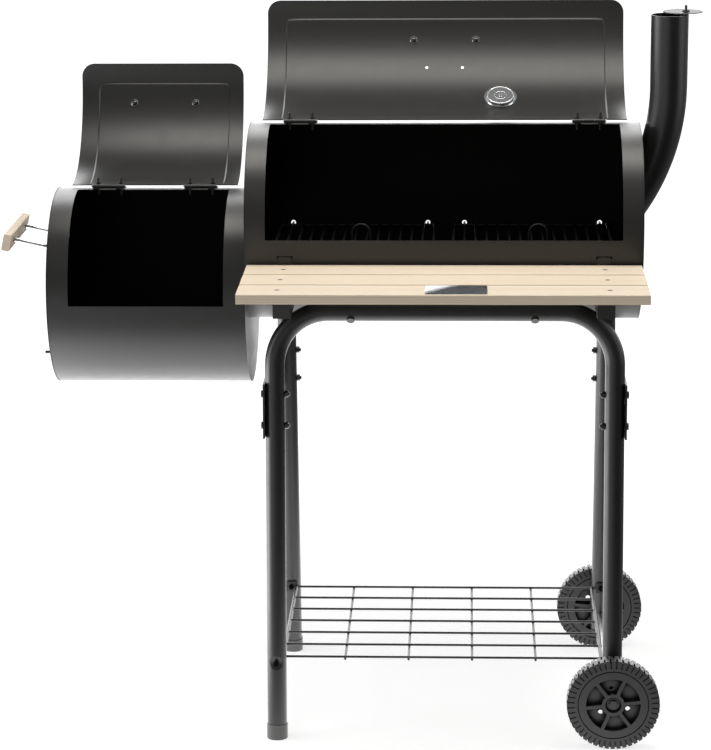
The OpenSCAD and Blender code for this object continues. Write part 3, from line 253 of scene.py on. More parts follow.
def wood_group():
    """Pale pine sawn along X: early and late wood lines and fine fibre."""
    tree, t, given, put = group(
        "pine_grain",
        [("Place", VEC, None), ("Ring Width", NUM, 0.006), ("Pale", COL, rgb("#d9cdba")),
         ("Line", COL, rgb("#c6ac87")), ("Contrast", NUM, 0.7)],
        [("Colour", COL), ("Height", NUM), ("Roughness", NUM)])
    sway = t.noise(t.stretched(given["Place"], (1.6, 14.0, 14.0)), 1.0, 3.0, 0.5)
    part = t.parts(given["Place"])
    across = t.math("ADD", part["Y"], t.math("MULTIPLY", part["Z"], 1.7))
    across = t.math("ADD", across, t.math("MULTIPLY", sway, 0.034))
    phase = t.math("DIVIDE", across, given["Ring Width"])
    saw = t.math("FRACT", phase)
    late = t.spread(saw, 0.35, 0.95, 0.0, 1.0)
    drop = t.spread(saw, 0.95, 1.0, 1.0, 0.0)
    ring = t.math("MULTIPLY", late, drop)
    strong = t.spread(t.noise(t.stretched(given["Place"], (0.5, 30.0, 30.0)), 1.0, 2.0), 0.35,
                      0.7, 0.25, 1.0)
    fibre = t.noise(t.stretched(given["Place"], (26.0, 900.0, 900.0)), 1.0, 4.0, 0.65)
    pore = t.noise(t.stretched(given["Place"], (60.0, 2400.0, 2400.0)), 1.0, 2.0, 0.5)
    tone = t.math("MULTIPLY", t.math("MULTIPLY", ring, strong), given["Contrast"])
    tone = t.math("ADD", tone, t.swing(fibre, 0.45, 0.55), clamp=True)
    t.feed(put["Colour"], t.mix_color(tone, given["Pale"], given["Line"]))
    t.feed(put["Height"], t.math("ADD", t.math("MULTIPLY", fibre, 0.6),
                                 t.math("ADD", t.math("MULTIPLY", pore, 0.3),
                                        t.math("MULTIPLY", ring, 0.35))))
    t.feed(put["Roughness"], t.math("ADD", 0.62, t.math("MULTIPLY", fibre, 0.16)))
    return tree


def metal_group():
    """Drawn or brushed metal: fine lines along one direction, faint spots and rubbing."""
    tree, t, given, put = group(
        "drawn_metal",
        [("Place", VEC, None), ("Lines", VEC, (60.0, 1800.0, 1800.0)), ("Colour", COL, None),
         ("Roughness", NUM, 0.2), ("Line Amount", NUM, 0.1)],
        [("Colour", COL), ("Roughness", NUM), ("Height", NUM)])
    scaled = t.add("ShaderNodeVectorMath", operation="MULTIPLY")
    t.link(given["Place"], scaled.inputs[0])
    t.link(given["Lines"], scaled.inputs[1])
    lines = t.noise(scaled.outputs[0], 1.0, 3.0, 0.6)
    spots = t.noise(given["Place"], 160.0, 4.0, 0.6)
    level = t.math("ADD", 1.0, t.swing(lines, 0.5, given["Line Amount"]))
    level = t.math("SUBTRACT", level, t.spread(spots, 0.55, 0.8, 0.0, 0.12))
    t.feed(put["Colour"], t.shaded(given["Colour"], level))
    t.feed(put["Roughness"],
           t.math("ADD", given["Roughness"], t.swing(spots, 0.4, 0.15), clamp=True))
    t.feed(put["Height"], lines)
    return tree


def mould_group():
    """Moulded plastic: a fine spark-eroded texture and slow shade changes from the mould."""
    tree, t, given, put = group(
        "moulded_skin",
        [("Place", VEC, None), ("Colour", COL, None), ("Roughness", NUM, 0.5)],
        [("Colour", COL), ("Roughness", NUM), ("Height", NUM)])
    skin = t.noise(given["Place"], 1500.0, 3.0, 0.6)
    flow = t.noise(given["Place"], 28.0, 3.0, 0.5)
    scuff = t.spread(t.noise(given["Place"], 90.0, 6.0, 0.7), 0.52, 0.72, 0.0, 0.28)
    level = t.math("ADD", 0.94, t.math("MULTIPLY", flow, 0.14))
    level = t.math("ADD", level, scuff)
    t.feed(put["Colour"], t.shaded(given["Colour"], level))
    t.feed(put["Roughness"], t.math("ADD", given["Roughness"],
                                    t.math("MULTIPLY", scuff, 0.4), clamp=True))
    t.feed(put["Height"], skin)
    return tree


COAT_TEXTURE = coat_texture_group()
SETTLED_DUST = dust_group()
BARREL_INSIDE = inside_group()
PINE_GRAIN = wood_group()
DRAWN_METAL = metal_group()
MOULDED_SKIN = mould_group()


# ------------------------------------------------------------------- materials

COAT_GLEAM = 0.5
# Painted shade inside the barrels: a near-black tint, with a rougher and duller coat there.
INSIDE_SHADE = (0.0060, 0.0058, 0.0056, 1)
INSIDE_ROUGHER, INSIDE_DULLER = 0.45, 0.8
DIMPLE_FROM, DIMPLE_TO, DIMPLE_DEPTH = 0.003, 0.012, 0.0022
SCUFF_SLANT, SCUFF_FULL, SCUFF_END, SCUFF_ROUGHER = 0.9, 0.010, 0.060, 0.55

def new_material(name):
    material = bpy.data.materials.new(name)
    material.use_nodes = True
    material.node_tree.nodes.clear()
    t = Tree(material.node_tree)
    shader = t.add("ShaderNodeBsdfPrincipled")
    out = t.add("ShaderNodeOutputMaterial")
    t.link(shader.outputs[0], out.inputs["Surface"])
    return material, t, shader


def put_group(t, tree, **values):
    node = t.add("ShaderNodeGroup")
    node.node_tree = tree
    for label, value in values.items():
        t.feed(node.inputs[label.replace("_", " ")], value)
    return node.outputs


def coat_material(name, colour, roughness=0.42, dust=0.1, ior=1.5, barrels=(), peel=0.10,
                  dimples=()):
    """Baked black coat; inside the given barrels it is darkened with painted shade and made dull.
    Each of dimples is the X and Z of a screw, round which the coat is shaded as if the tube were
    pressed in."""
    material, t, shader = new_material(name)
    spot = t.place()
    coat = put_group(t, COAT_TEXTURE, Place=spot, Colour=colour, Roughness=roughness)
    dusty = put_group(t, SETTLED_DUST, Place=spot, Amount=dust, Base=coat["Colour"])
    tint, rough, gleam = dusty["Colour"], coat["Roughness"], COAT_GLEAM
    # Inside each barrel the coat takes the painted shade tint, more roughness and less gleam.
    for y, z, bore, x0, x1 in barrels:
        within = put_group(t, BARREL_INSIDE, Place=spot, Axis_Y=y, Axis_Z=z, Bore_Radius=bore,
                           From_X=x0, To_X=x1)["Mask"]
        tint = t.mix_color(within, tint, INSIDE_SHADE)
        rough = t.math("ADD", rough, t.math("MULTIPLY", within, INSIDE_ROUGHER), clamp=True)
        kept = t.math("SUBTRACT", 1.0, t.math("MULTIPLY", within, INSIDE_DULLER))
        gleam = t.math("MULTIPLY", gleam, kept)
    t.feed(shader.inputs["Base Color"], tint)
    t.feed(shader.inputs["Roughness"], rough)
    t.feed(shader.inputs["Specular IOR Level"], gleam)
    shader.inputs["IOR"].default_value = ior
    normal = t.bump(coat["Height"], peel, 0.0002)
    for x, z in dimples:
        part = t.parts(spot)
        away = t.apart(part["X"], x, part["Z"], z)
        dip = t.spread(away, DIMPLE_FROM, DIMPLE_TO, -DIMPLE_DEPTH, 0.0)
        normal = t.bump(dip, 1.0, 1.0, normal)
    t.feed(shader.inputs["Normal"], normal)
    return material


def metal_material(name, colour, roughness, lines=(60.0, 1800.0, 1800.0), amount=0.12,
                   height=0.08, scuffed=None):
    """Bare metal; scuffed gives the node whose left end is rubbed dull."""
    material, t, shader = new_material(name)
    drawn = put_group(t, DRAWN_METAL, Place=t.place(), Lines=lines, Colour=colour,
                      Roughness=roughness, Line_Amount=amount)
    t.feed(shader.inputs["Base Color"], drawn["Colour"])
    rough = drawn["Roughness"]
    if scuffed is not None:
        low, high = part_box(scuffed)
        part = t.parts(t.place())
        slant = t.math("ADD", part["X"], t.math("MULTIPLY", part["Y"], -SCUFF_SLANT))
        start = low[0] - SCUFF_SLANT * high[1]
        dull = t.spread(slant, start + SCUFF_FULL, start + SCUFF_END, SCUFF_ROUGHER, 0.0)
        rough = t.math("ADD", rough, dull, clamp=True)
    t.feed(shader.inputs["Roughness"], rough)
    shader.inputs["Metallic"].default_value = 1.0
    t.feed(shader.inputs["Normal"], t.bump(drawn["Height"], height, 0.0001))
    return material


def plastic_material(name, colour, roughness, gleam=0.5, shade_depth=None):
    """Moulded plastic or flat paint. The last argument is the depth over which hollows are
    darkened with painted shade.
    """
    material, t, shader = new_material(name)
    skin = put_group(t, MOULDED_SKIN, Place=t.place(), Colour=colour, Roughness=roughness)
    tint = skin["Colour"]
    # Painted shade: hollows found by ambient occlusion go near black and lose their gleam.
    if shade_depth is not None:
        near = t.add("ShaderNodeAmbientOcclusion", samples=6, only_local=True)
        near.inputs["Distance"].default_value = shade_depth
        unshaded = t.spread(near.outputs["AO"], 0.45, 0.92, 0.12, 1.0)
        tint = t.mix_color(unshaded, (0.002, 0.002, 0.002, 1), tint)
        gleam = t.math("MULTIPLY", unshaded, gleam)
    t.feed(shader.inputs["Base Color"], tint)
    t.feed(shader.inputs["Roughness"], skin["Roughness"])
    t.feed(shader.inputs["Specular IOR Level"], gleam)
    t.feed(shader.inputs["Normal"], t.bump(skin["Height"], 0.12, 0.0002))
    return material


def pine_material(name, ring, contrast, turn=None):
    """Planed pine with its grain along X, unless turned."""
    material, t, shader = new_material(name)
    spot = t.place()
    if turn is not None:
        node = t.add("ShaderNodeMapping", vector_type="POINT")
        t.feed(node.inputs["Vector"], spot)
        node.inputs["Rotation"].default_value = turn
        spot = node.outputs["Vector"]
    grain = put_group(t, PINE_GRAIN, Place=spot, Ring_Width=ring, Contrast=contrast)
    t.feed(shader.inputs["Base Color"], grain["Colour"])
    t.feed(shader.inputs["Roughness"], grain["Roughness"])
    t.feed(shader.inputs["Normal"], t.bump(grain["Height"], 0.25, 0.0004))
    return material


def dial_material():
    """Enamelled dial face, faintly mottled."""
    material, t, shader = new_material("dial_enamel")
    mottle = t.noise(t.place(), 900.0, 3.0, 0.6)
    shade = t.mix_color(t.math("MULTIPLY", mottle, 0.12), rgb("#f2f2ee"), rgb("#c9c9c0"))
    t.feed(shader.inputs["Base Color"], shade)
    shader.inputs["Roughness"].default_value = 0.35
    t.feed(shader.inputs["Normal"], t.bump(mottle, 0.03, 0.0001))
    return material


def glass_material():
    """The clear pane over the dial, faintly smeared."""
    material, t, shader = new_material("dial_glass_pane")
    smear = t.noise(t.place(), 240.0, 4.0, 0.6)
    t.feed(shader.inputs["Roughness"], t.math("MULTIPLY", smear, 0.06))
    shader.inputs["Base Color"].default_value = (0.95, 0.97, 0.98, 1)
    shader.inputs["Transmission Weight"].default_value = 1.0
    shader.inputs["IOR"].default_value = 1.45
    t.feed(shader.inputs["Normal"], t.bump(smear, 0.02, 0.0001))
    return material


FIREBOX_Z = 0.714
BARREL_Z = 0.822
FIREBOX_LEN = 0.320
SKIN = 0.0004  # depth to which the outer coat reaches into the sheet
BORE = BARREL_R - SKIN
# The barrels whose insides are darkened with painted shade: axis, bore and ends.
HOLLOWS = (
    (SHIFT.y, BARREL_Z, BORE, SHIFT.x + SKIN, SHIFT.x + BARREL_LEN - SKIN),
    (SHIFT.y, FIREBOX_Z, BORE, SHIFT.x - FIREBOX_LEN + SKIN, SHIFT.x - SKIN),
)

SCREWS_LOW, SCREWS_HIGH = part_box("shelf_screws")
SCREW_HEAD_R = 0.0045
SCREW_Z = (SCREWS_LOW[2] + SCREWS_HIGH[2]) / 2
DIMPLES = ((SCREWS_LOW[0] + SCREW_HEAD_R, SCREW_Z), (SCREWS_HIGH[0] - SCREW_HEAD_R, SCREW_Z))

MATERIALS = {
    "black_coat": coat_material("black_coat", (0.0150, 0.0146, 0.0140, 1), 0.37, dust=0.02,
                                barrels=HOLLOWS),
    "lid_coat": coat_material("lid_coat", (0.0100, 0.0098, 0.0094, 1), 0.37, dust=0.01),
    "frame_coat": coat_material("frame_coat", (0.0100, 0.0098, 0.0095, 1), 0.36, dust=0.02,
                                dimples=DIMPLES),
    # Real shelf screws, painted near-black and glossless as painted shade of the holes they sit
    # in.
    "screw_in_shade": plastic_material("screw_in_shade", (0.003, 0.003, 0.003, 1), 0.8, 0.05),
    "chimney_coat": coat_material("chimney_coat", (0.0060, 0.0060, 0.0060, 1), 0.34, dust=0.02),
    "black_oxide": coat_material("black_oxide", (0.010, 0.010, 0.010, 1), 0.34, dust=0.02,
                                 ior=1.6, peel=0.05),
    "grate_wire": coat_material("grate_wire", (0.008, 0.008, 0.008, 1), 0.45, dust=0.01, ior=1.4),
    "shelf_wire": coat_material("shelf_wire", (0.012, 0.012, 0.012, 1), 0.42, dust=0.03, ior=1.5),
    "pine": pine_material("pine", 0.0065, 0.8),
    "pine_side_grip": pine_material("pine_side_grip", 0.004, 0.7, (0, 0, math.pi / 2)),
    "chrome": metal_material("chrome", (0.46, 0.46, 0.47, 1), 0.14),
    "nut_black": coat_material("nut_black", (0.006, 0.006, 0.006, 1), 0.16, dust=0.0, ior=1.7,
                               peel=0.02),
    "damper_steel": plastic_material("damper_steel", (0.13, 0.13, 0.138, 1), 0.6, 0.15),
    "screw_zinc": metal_material("screw_zinc", (0.11, 0.11, 0.115, 1), 0.4),
    "galvanised": metal_material("galvanised", (0.56, 0.57, 0.58, 1), 0.2,
                                 (300.0, 300.0, 300.0), 0.3, height=0.3),
    "zinc": metal_material("zinc", (0.50, 0.50, 0.51, 1), 0.30, (90.0, 1500.0, 1500.0)),
    "bare_plate": metal_material("bare_plate", (0.50, 0.52, 0.55, 1), 0.22,
                                 (14.0, 1500.0, 1500.0), 0.3, scuffed="table_plate"),
    # The wheels' pockets and tread slots get painted shade.
    "wheel_plastic": plastic_material("wheel_plastic", (0.031, 0.031, 0.031, 1), 0.40, 0.4,
                                      shade_depth=0.012),
    "cap_plastic": plastic_material("cap_plastic", (0.020, 0.020, 0.020, 1), 0.45),
    "foot_plastic": plastic_material("foot_plastic", (0.105, 0.105, 0.103, 1), 0.5),
    "dial_white": dial_material(),
    "dial_glass": glass_material(),
    "dial_ink": plastic_material("dial_ink", (0.012, 0.012, 0.013, 1), 0.5),
    "needle_red": plastic_material("needle_red", (0.42, 0.02, 0.015, 1), 0.35),
}
OWN_FINISH = {
    "side_grip": "pine_side_grip",
    "bottom_shelf": "shelf_wire",
    "table_plate": "bare_plate",
    "lid_plate_rivets": "zinc",
    "table_screws": "screw_zinc",
    "shelf_screws": "screw_in_shade",
    "leg_frame_front_left": "frame_coat",
    "leg_frame_front_right": "frame_coat",
    "leg_frame_rear_left": "frame_coat",
    "leg_frame_rear_right": "frame_coat",
    "frame_sleeves": "frame_coat",
    "chimney": "chimney_coat",
    "chimney_damper": "damper_steel",
}


def dress(obj, material):
    """Gives a part its finish in every one of its material slots."""
    if not obj.material_slots:
        obj.data.materials.append(material)
    for held in obj.material_slots:
        held.link = "OBJECT"
        held.material = material


for name, part in NODES.items():
    dress(part, MATERIALS[OWN_FINISH.get(name, SLOT_OF[name])])


# ------------------------------------------------------------- pressed lid sheets

HINGE_ANGLE = math.radians(94)
PIN_R = 0.1632
PIN_Y, PIN_UP = -PIN_R * math.cos(HINGE_ANGLE), PIN_R * math.sin(HINGE_ANGLE)
LID_R, LID_T = 0.1615, 0.0015
LID_FROM, LID_TO, LID_CORNER = -2.5, 92.4, 0.022
LID_OPEN, FIREBOX_LID_OPEN = 177, 176
PRESS_DEPTH, PRESS_WIDTH, PRESS_CORNER = 0.0013, 0.0021, 0.007
PRESS_FADE_FROM, PRESS_FADE_TO = 0.014, 0.003  # before the hinged edge
TOP_SLOPE = 0.55  # slope of the step along the free edge, against those at the sides
COARSE_X, COARSE_ROUND, FINE, NEAR_STEP = 0.012, 0.0055, 0.0008, 0.0035
CORNER_ROWS = 12
LID_BEVEL = 0.0004
SHARP = 35  # edges that turn by more degrees than this stay sharp or are softened


def lid_point(x, angle, radius, axis_z, opened):
    """A point of an opened lid, from its place along the barrel, its angle above the front
    line and its distance from the barrel's axis, as they are with the lid shut."""
    g, a = math.radians(angle), math.radians(opened)
    y = -radius * math.cos(g) - PIN_Y
    z = radius * math.sin(g) - PIN_UP
    turned_y = y * math.cos(a) + z * math.sin(a)
    turned_z = -y * math.sin(a) + z * math.cos(a)
    return place(x, turned_y + PIN_Y, turned_z + PIN_UP + axis_z)


def ease(t):
    """Nought to one, starting and ending gently."""
    t = min(max(t, 0.0), 1.0)
    return t * t * (3 - 2 * t)


def stations(low, high, marks, coarse, fine, near):
    """Values from low to high, close together near the marks and further apart elsewhere."""
    values, at = [low], low
    while at < high - 1e-9:
        if min(abs(at - m) for m in marks) < near + 1e-9:
            step = fine
        else:
            ahead = [m - near - at for m in marks if m - near > at + 1e-9]
            step = min([coarse] + [max(gap, fine) for gap in ahead])
        at = min(high, at + step)
        values.append(at)
    if values[-1] - values[-2] < fine * 0.4:
        values.pop(-2)
    return values


def pressed_depth(x, s, inner, arc):
    """How far the pressed panel stands in from the border of the sheet, at x along the
    barrel and s round it from the free edge. It runs out before the hinged edge, at arc."""
    x0, x1, s0 = inner
    dx = min(x - x0, x1 - x)
    ds = (s - s0) * TOP_SLOPE
    if dx < PRESS_CORNER and ds < PRESS_CORNER:
        inside = PRESS_CORNER - math.hypot(PRESS_CORNER - dx, PRESS_CORNER - ds)
    else:
        inside = min(dx, ds)
    fade_from, fade_to = arc - PRESS_FADE_FROM, arc - PRESS_FADE_TO
    faded = 1 - ease((s - fade_from) / (fade_to - fade_from))
    return PRESS_DEPTH * ease(inside / PRESS_WIDTH + 0.5) * faded


def pressed_lid(name, node, x0, x1, axis_z, opened, side_in, top_in):
    """One lid as pressed sheet: rounded free corners, a pressed step round three sides that
    runs out towards the hinges, and two real faces with a rim between them."""
    mesh = bmesh.new()
    arc = math.radians(LID_TO - LID_FROM) * LID_R
    inner = (x0 + side_in[0], x1 - side_in[1], top_in)
    xs = stations(x0, x1, (x0, x1, inner[0], inner[1]), COARSE_X, FINE, NEAR_STEP)
    rows = [LID_CORNER * (1 - math.cos(i * math.pi / (2 * CORNER_ROWS)))
            for i in range(CORNER_ROWS)]
    rows += stations(LID_CORNER, arc, (inner[2], arc), COARSE_ROUND, FINE, NEAR_STEP)
    layers = []
    for radius in (LID_R, LID_R + LID_T):
        grid = []
        for s in rows:
            inset = 0.0
            if s < LID_CORNER:
                inset = LID_CORNER - math.sqrt(max(LID_CORNER ** 2 - (LID_CORNER - s) ** 2, 0))
            line = []
            for x in xs:
                at = x
                if x < x0 + LID_CORNER:
                    at = x0 + inset + (x - x0) * (1 - inset / LID_CORNER)
                elif x > x1 - LID_CORNER:
                    at = x1 - inset - (x1 - x) * (1 - inset / LID_CORNER)
                angle = LID_FROM + math.degrees(s / LID_R)
                in_by = pressed_depth(at, s, inner, arc)
                line.append(mesh.verts.new(lid_point(at, angle, radius - in_by, axis_z, opened)))
            grid.append(line)
        layers.append(grid)
    low, high = layers
    last_row, last_col = len(rows) - 1, len(xs) - 1
    for i in range(last_row):
        for j in range(last_col):
            mesh.faces.new((low[i][j], low[i][j + 1], low[i + 1][j + 1], low[i + 1][j]))
            mesh.faces.new((high[i][j], high[i + 1][j], high[i + 1][j + 1], high[i][j + 1]))
    for j in range(last_col):
        mesh.faces.new((low[0][j], high[0][j], high[0][j + 1], low[0][j + 1]))
        mesh.faces.new((low[last_row][j], low[last_row][j + 1], high[last_row][j + 1],
                        high[last_row][j]))
    for i in range(last_row):
        mesh.faces.new((low[i][0], low[i + 1][0], high[i + 1][0], high[i][0]))
        mesh.faces.new((low[i][last_col], high[i][last_col], high[i + 1][last_col],
                        low[i + 1][last_col]))
    bmesh.ops.remove_doubles(mesh, verts=mesh.verts, dist=1e-6)
    bmesh.ops.recalc_face_normals(mesh, faces=mesh.faces)
    finish_piece(name, mesh, MATERIALS["lid_coat"], node, (node,),
                 bevel=LID_BEVEL)


def finish_piece(name, mesh, material, body, stands_for=(), bevel=None):
    """Turns worked mesh into a named piece with smooth faces and its finish. A bevel, when given,
    softens its edges.
    """
    data = bpy.data.meshes.new(name)
    mesh.to_mesh(data)
    mesh.free()
    for face in data.polygons:
        face.use_smooth = True
    data.set_sharp_from_angle(angle=math.radians(SHARP))
    data.materials.append(material)
    piece = bpy.data.objects.new(name, data)
    bpy.context.scene.collection.objects.link(piece)
    if bevel:
        soften(piece, bevel)
    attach(piece, body)
    if stands_for:
        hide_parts(*stands_for)


def soften(piece, width, segments=2, angle=SHARP, weld=False):
    """Rounds the sharp edges of a piece by a small width; weld joins its loose faces first."""
    if weld:
        joined = piece.modifiers.new("joined_faces", "WELD")
        joined.merge_threshold = 1e-6
    edges = piece.modifiers.new("softened_edges", "BEVEL")
    edges.width = width
    edges.segments = segments
    edges.limit_method = "ANGLE"
    edges.angle_limit = math.radians(angle)
    edges.use_clamp_overlap = True
    edges.harden_normals = False
    edges.miter_outer = "MITER_ARC"


pressed_lid("main_lid_sheet", "main_lid", 0.0195, 0.6155, BARREL_Z, LID_OPEN,
            side_in=(0.0315, 0.0315), top_in=0.0316)
pressed_lid("firebox_lid_sheet", "firebox_lid", -0.297, -0.023, FIREBOX_Z, FIREBOX_LID_OPEN,
            side_in=(0.0295, 0.024), top_in=0.0342)


# ------------------------------------------------------------------- thermometer

THERMO_X, THERMO_AT = 0.4096, 63.0
BACK_IN, DIAL_OUT = 0.009, 0.00185  # the can's back and the dial, from the lid's faces
PRINT_LOW, PRINT_HIGH = -0.00002, 0.00006
RINGS, RING_HALF = (0.0212, 0.0155), 0.00015
STROKES, STROKES_PER_NUMBER, STROKE_TO = 31, 5, 0.0210
LONG_FROM, LONG_HALF, SHORT_FROM, SHORT_HALF = 0.0172, 0.00028, 0.0190, 0.00014
SCALE_START, SCALE_SWEEP = 225, 270
NUMBERS, NUMBER_STEP, NUMBER_AT = 7, 50, 0.0122
FIGURE_SIZE, FIGURE_HALF, FIGURE_OUT = 0.0040, 0.00004, 0.00002


def lid_axes(x, angle, height, axis_z, opened):
    """A point of an opened lid, and the directions right, up the sheet and out of it there."""
    middle = lid_point(x, angle, height, axis_z, opened)
    front = (lid_point(x, angle, height + 0.01, axis_z, opened) - middle).normalized()
    right = Vector((1.0, 0.0, 0.0))
    return middle, right, front.cross(right), front


def thermometer_axes(height):
    """The point on the thermometer's axis at this distance from the barrel's axis, and the
    directions of its dial's right, top and front."""
    return lid_axes(THERMO_X, THERMO_AT, height, BARREL_Z, LID_OPEN)


def turned_ring(mesh, middle, right, top, front, profile, turns=96):
    """A ring turned about the thermometer's axis from a closed outline of radius and height."""
    loops = []
    for i in range(turns):
        a = 2 * math.pi * i / turns
        out = right * math.cos(a) + top * math.sin(a)
        loops.append([mesh.verts.new(middle + out * rad + front * up) for rad, up in profile])
    for i in range(turns):
        here, after = loops[i], loops[(i + 1) % turns]
        for j in range(len(profile)):
            k = (j + 1) % len(profile)
            mesh.faces.new((here[j], after[j], after[k], here[k]))
    bmesh.ops.recalc_face_normals(mesh, faces=mesh.faces)


def bead(radius, width, height, points=9):
    """The outline of a low rounded bead at this radius, standing on a flat face."""
    arc = [(radius - width * math.cos(math.pi * i / (points - 1)),
            height * math.sin(math.pi * i / (points - 1))) for i in range(points)]
    return [(radius - width, -0.0002)] + arc + [(radius + width, -0.0002)]


def thermometer_back():
    """The pressed beads on the back of the can, in the hollow of the lid."""
    middle, right, top, front = thermometer_axes(LID_R - BACK_IN)
    mesh = bmesh.new()
    for outline in (bead(0.0214, 0.0012, 0.0008), bead(0.0098, 0.0007, 0.0003)):
        turned_ring(mesh, middle, right, top, -front, outline)
    finish_piece("thermometer_back_beads", mesh, MATERIALS["galvanised"], "main_lid")


def dial_print():
    """The scale on the dial: two rings, short and long strokes and plain numbers."""
    middle, right, top, front = thermometer_axes(LID_R + LID_T + DIAL_OUT)
    mesh = bmesh.new()
    for radius in RINGS:
        inner, outer = radius - RING_HALF, radius + RING_HALF
        turned_ring(mesh, middle, right, top, front,
                    [(inner, PRINT_LOW), (inner, PRINT_HIGH),
                     (outer, PRINT_HIGH), (outer, PRINT_LOW)])
    for i in range(STROKES):
        a = math.radians(SCALE_START - SCALE_SWEEP // (STROKES - 1) * i)
        out = right * math.cos(a) + top * math.sin(a)
        side = top * math.cos(a) - right * math.sin(a)
        near, half = SHORT_FROM, SHORT_HALF
        if i % STROKES_PER_NUMBER == 0:
            near, half = LONG_FROM, LONG_HALF
        corners = [mesh.verts.new(middle + out * rad + side * half * s + front * up)
                   for up in (PRINT_LOW, PRINT_HIGH) for rad, s in
                   ((near, -1), (STROKE_TO, -1), (STROKE_TO, 1), (near, 1))]
        for face in ((0, 3, 2, 1), (4, 5, 6, 7), (0, 1, 5, 4), (1, 2, 6, 5), (2, 3, 7, 6),
                     (3, 0, 4, 7)):
            mesh.faces.new([corners[k] for k in face])
    finish_piece("thermometer_scale", mesh, MATERIALS["dial_ink"], "main_lid")
    for i in range(NUMBERS):
        a = math.radians(SCALE_START - SCALE_SWEEP // (NUMBERS - 1) * i)
        out = right * math.cos(a) + top * math.sin(a)
        number(str(NUMBER_STEP * (i + 1)), middle + out * NUMBER_AT, right, top, front)


def number(figures, middle, right, top, front):
    """A printed number on the dial, centred on a point."""
    curve = bpy.data.curves.new("figures_" + figures, "FONT")
    curve.body = figures
    curve.size = FIGURE_SIZE
    curve.extrude = FIGURE_HALF
    curve.align_x, curve.align_y = "CENTER", "CENTER"
    holder = bpy.data.objects.new("figures_" + figures, curve)
    bpy.context.scene.collection.objects.link(holder)
    mesh = bmesh.new()
    mesh.from_mesh(holder.evaluated_get(bpy.context.evaluated_depsgraph_get()).to_mesh())
    bpy.data.objects.remove(holder)
    turn = Matrix((right, top, front)).transposed().to_4x4()
    mesh.transform(Matrix.Translation(middle + front * FIGURE_OUT) @ turn)
    finish_piece("thermometer_number_" + figures, mesh, MATERIALS["dial_ink"],
                 "main_lid")


thermometer_back()
dial_print()


# -------------------------------------------------------------- lid handle rods

ROD_GAP, ROD_R, ROD_LEN, THREAD_R = 0.104, 0.0035, 0.042, 0.0025
ROD_AT = 21.2
LID_ROD_X, FIREBOX_LID_ROD_X = 0.3167, 0.1636 - FIREBOX_LEN
DOME_R, DOME_POINTS = 0.0044, 10


def lathe(mesh, middle, axes, profile, turns=40):
    """A body turned about an axis, from radius and height along its outline, closed at its ends
    on the axis."""
    right, top, front = axes
    loops = []
    for rad, up in profile:
        if rad < 1e-7:
            loops.append([mesh.verts.new(middle + front * up)])
        else:
            loops.append([mesh.verts.new(
                middle + front * up + right * rad * math.cos(2 * math.pi * i / turns)
                + top * rad * math.sin(2 * math.pi * i / turns)) for i in range(turns)])
    for low, high in zip(loops, loops[1:]):
        for i in range(turns):
            k = (i + 1) % turns
            if len(low) == 1:
                mesh.faces.new((low[0], high[i], high[k]))
            elif len(high) == 1:
                mesh.faces.new((low[i], high[0], low[k]))
            else:
                mesh.faces.new((low[i], high[i], high[k], low[k]))


def lid_handle_rods(name, node, x, axis_z, opened):
    """Two rods that stand on a lid, each held from inside by a flanged acorn nut."""
    mesh, nuts = bmesh.new(), bmesh.new()
    outer = LID_R + LID_T + 0.0001
    for side in (-1, 1):
        foot, *axes = lid_axes(x + side * ROD_GAP / 2, ROD_AT, outer, axis_z, opened)
        lathe(mesh, foot, axes, [
            (0, -0.006), (THREAD_R, -0.006), (THREAD_R, 0), (ROD_R - 0.0004, 0), (ROD_R, 0.0004),
            (ROD_R, ROD_LEN + 0.006), (ROD_R - 0.0004, ROD_LEN + 0.0065), (0, ROD_LEN + 0.0065)])
        seat = -LID_T - 0.0003
        lathe(mesh, foot, axes, [
            (0, seat), (0.0068, seat), (0.0070, seat - 0.0004), (0.0066, seat - 0.0012),
            (0.0054, seat - 0.0024), (0, seat - 0.0024)])
        lathe(nuts, foot, axes, [
            (0, seat - 0.002), (0.0050, seat - 0.002), (0.0052, seat - 0.0024),
            (0.0052, seat - 0.0036), (0.0047, seat - 0.0042), (0, seat - 0.0042)], turns=6)
        dome = [(DOME_R * math.cos(math.pi / 2 * i / DOME_POINTS),
                 seat - 0.0038 - 0.0034 * math.sin(math.pi / 2 * i / DOME_POINTS))
                for i in range(DOME_POINTS)]
        lathe(nuts, foot, axes, [(0, seat - 0.0036), (DOME_R, seat - 0.0036)] + dome
              + [(0, seat - 0.0072)])
    for made, piece, finish in ((mesh, "rods", "chrome"), (nuts, "nuts", "nut_black")):
        bmesh.ops.recalc_face_normals(made, faces=made.faces)
        finish_piece(name + "_" + piece, made, MATERIALS[finish], node,
                     (node + "_rods",))


lid_handle_rods("main_lid_handle", "main_lid", LID_ROD_X, BARREL_Z, LID_OPEN)
lid_handle_rods("firebox_lid_handle", "firebox_lid", FIREBOX_LID_ROD_X, FIREBOX_Z,
                FIREBOX_LID_OPEN)


# ---------------------------------------------------------------- softened edges

for name, width in (("thermometer_case", 0.0012), ("table_slats", 0.0012),
                    ("wheel_front", 0.0009), ("wheel_rear", 0.0009), ("side_rods", 0.0004)):
    soften(NODES[name], width, 3, 40, weld=True)


# ------------------------------------------------------------------------ studio

WORLD_FRONT, WORLD_BACK, WORLD_AROUND, WORLD_TOP = 0.21, 3.4, 0.24, 0.06
WORLD_HIGH, WORLD_BESIDE = 1.9, 0.3
FLOOR_FRONT, FLOOR_BACK, FLOOR_RIGHT, FLOOR_LEFT_MORE = 0.4, 2.8, 0.1, 2.0
FLOOR_RINGS = (0.4, 0.8, 1.2, 1.8, 2.6, 4.0, 8.0, 20.0, 40.0)
FLOOR_SIDES, FLOOR_Z = 64, -0.0006
FLOOR_PAINT = (0.82, 0.82, 0.82, 1)
NEAR_GLOW, WHITE_FROM, WHITE_TO = 0.66, 0.6, 1.5


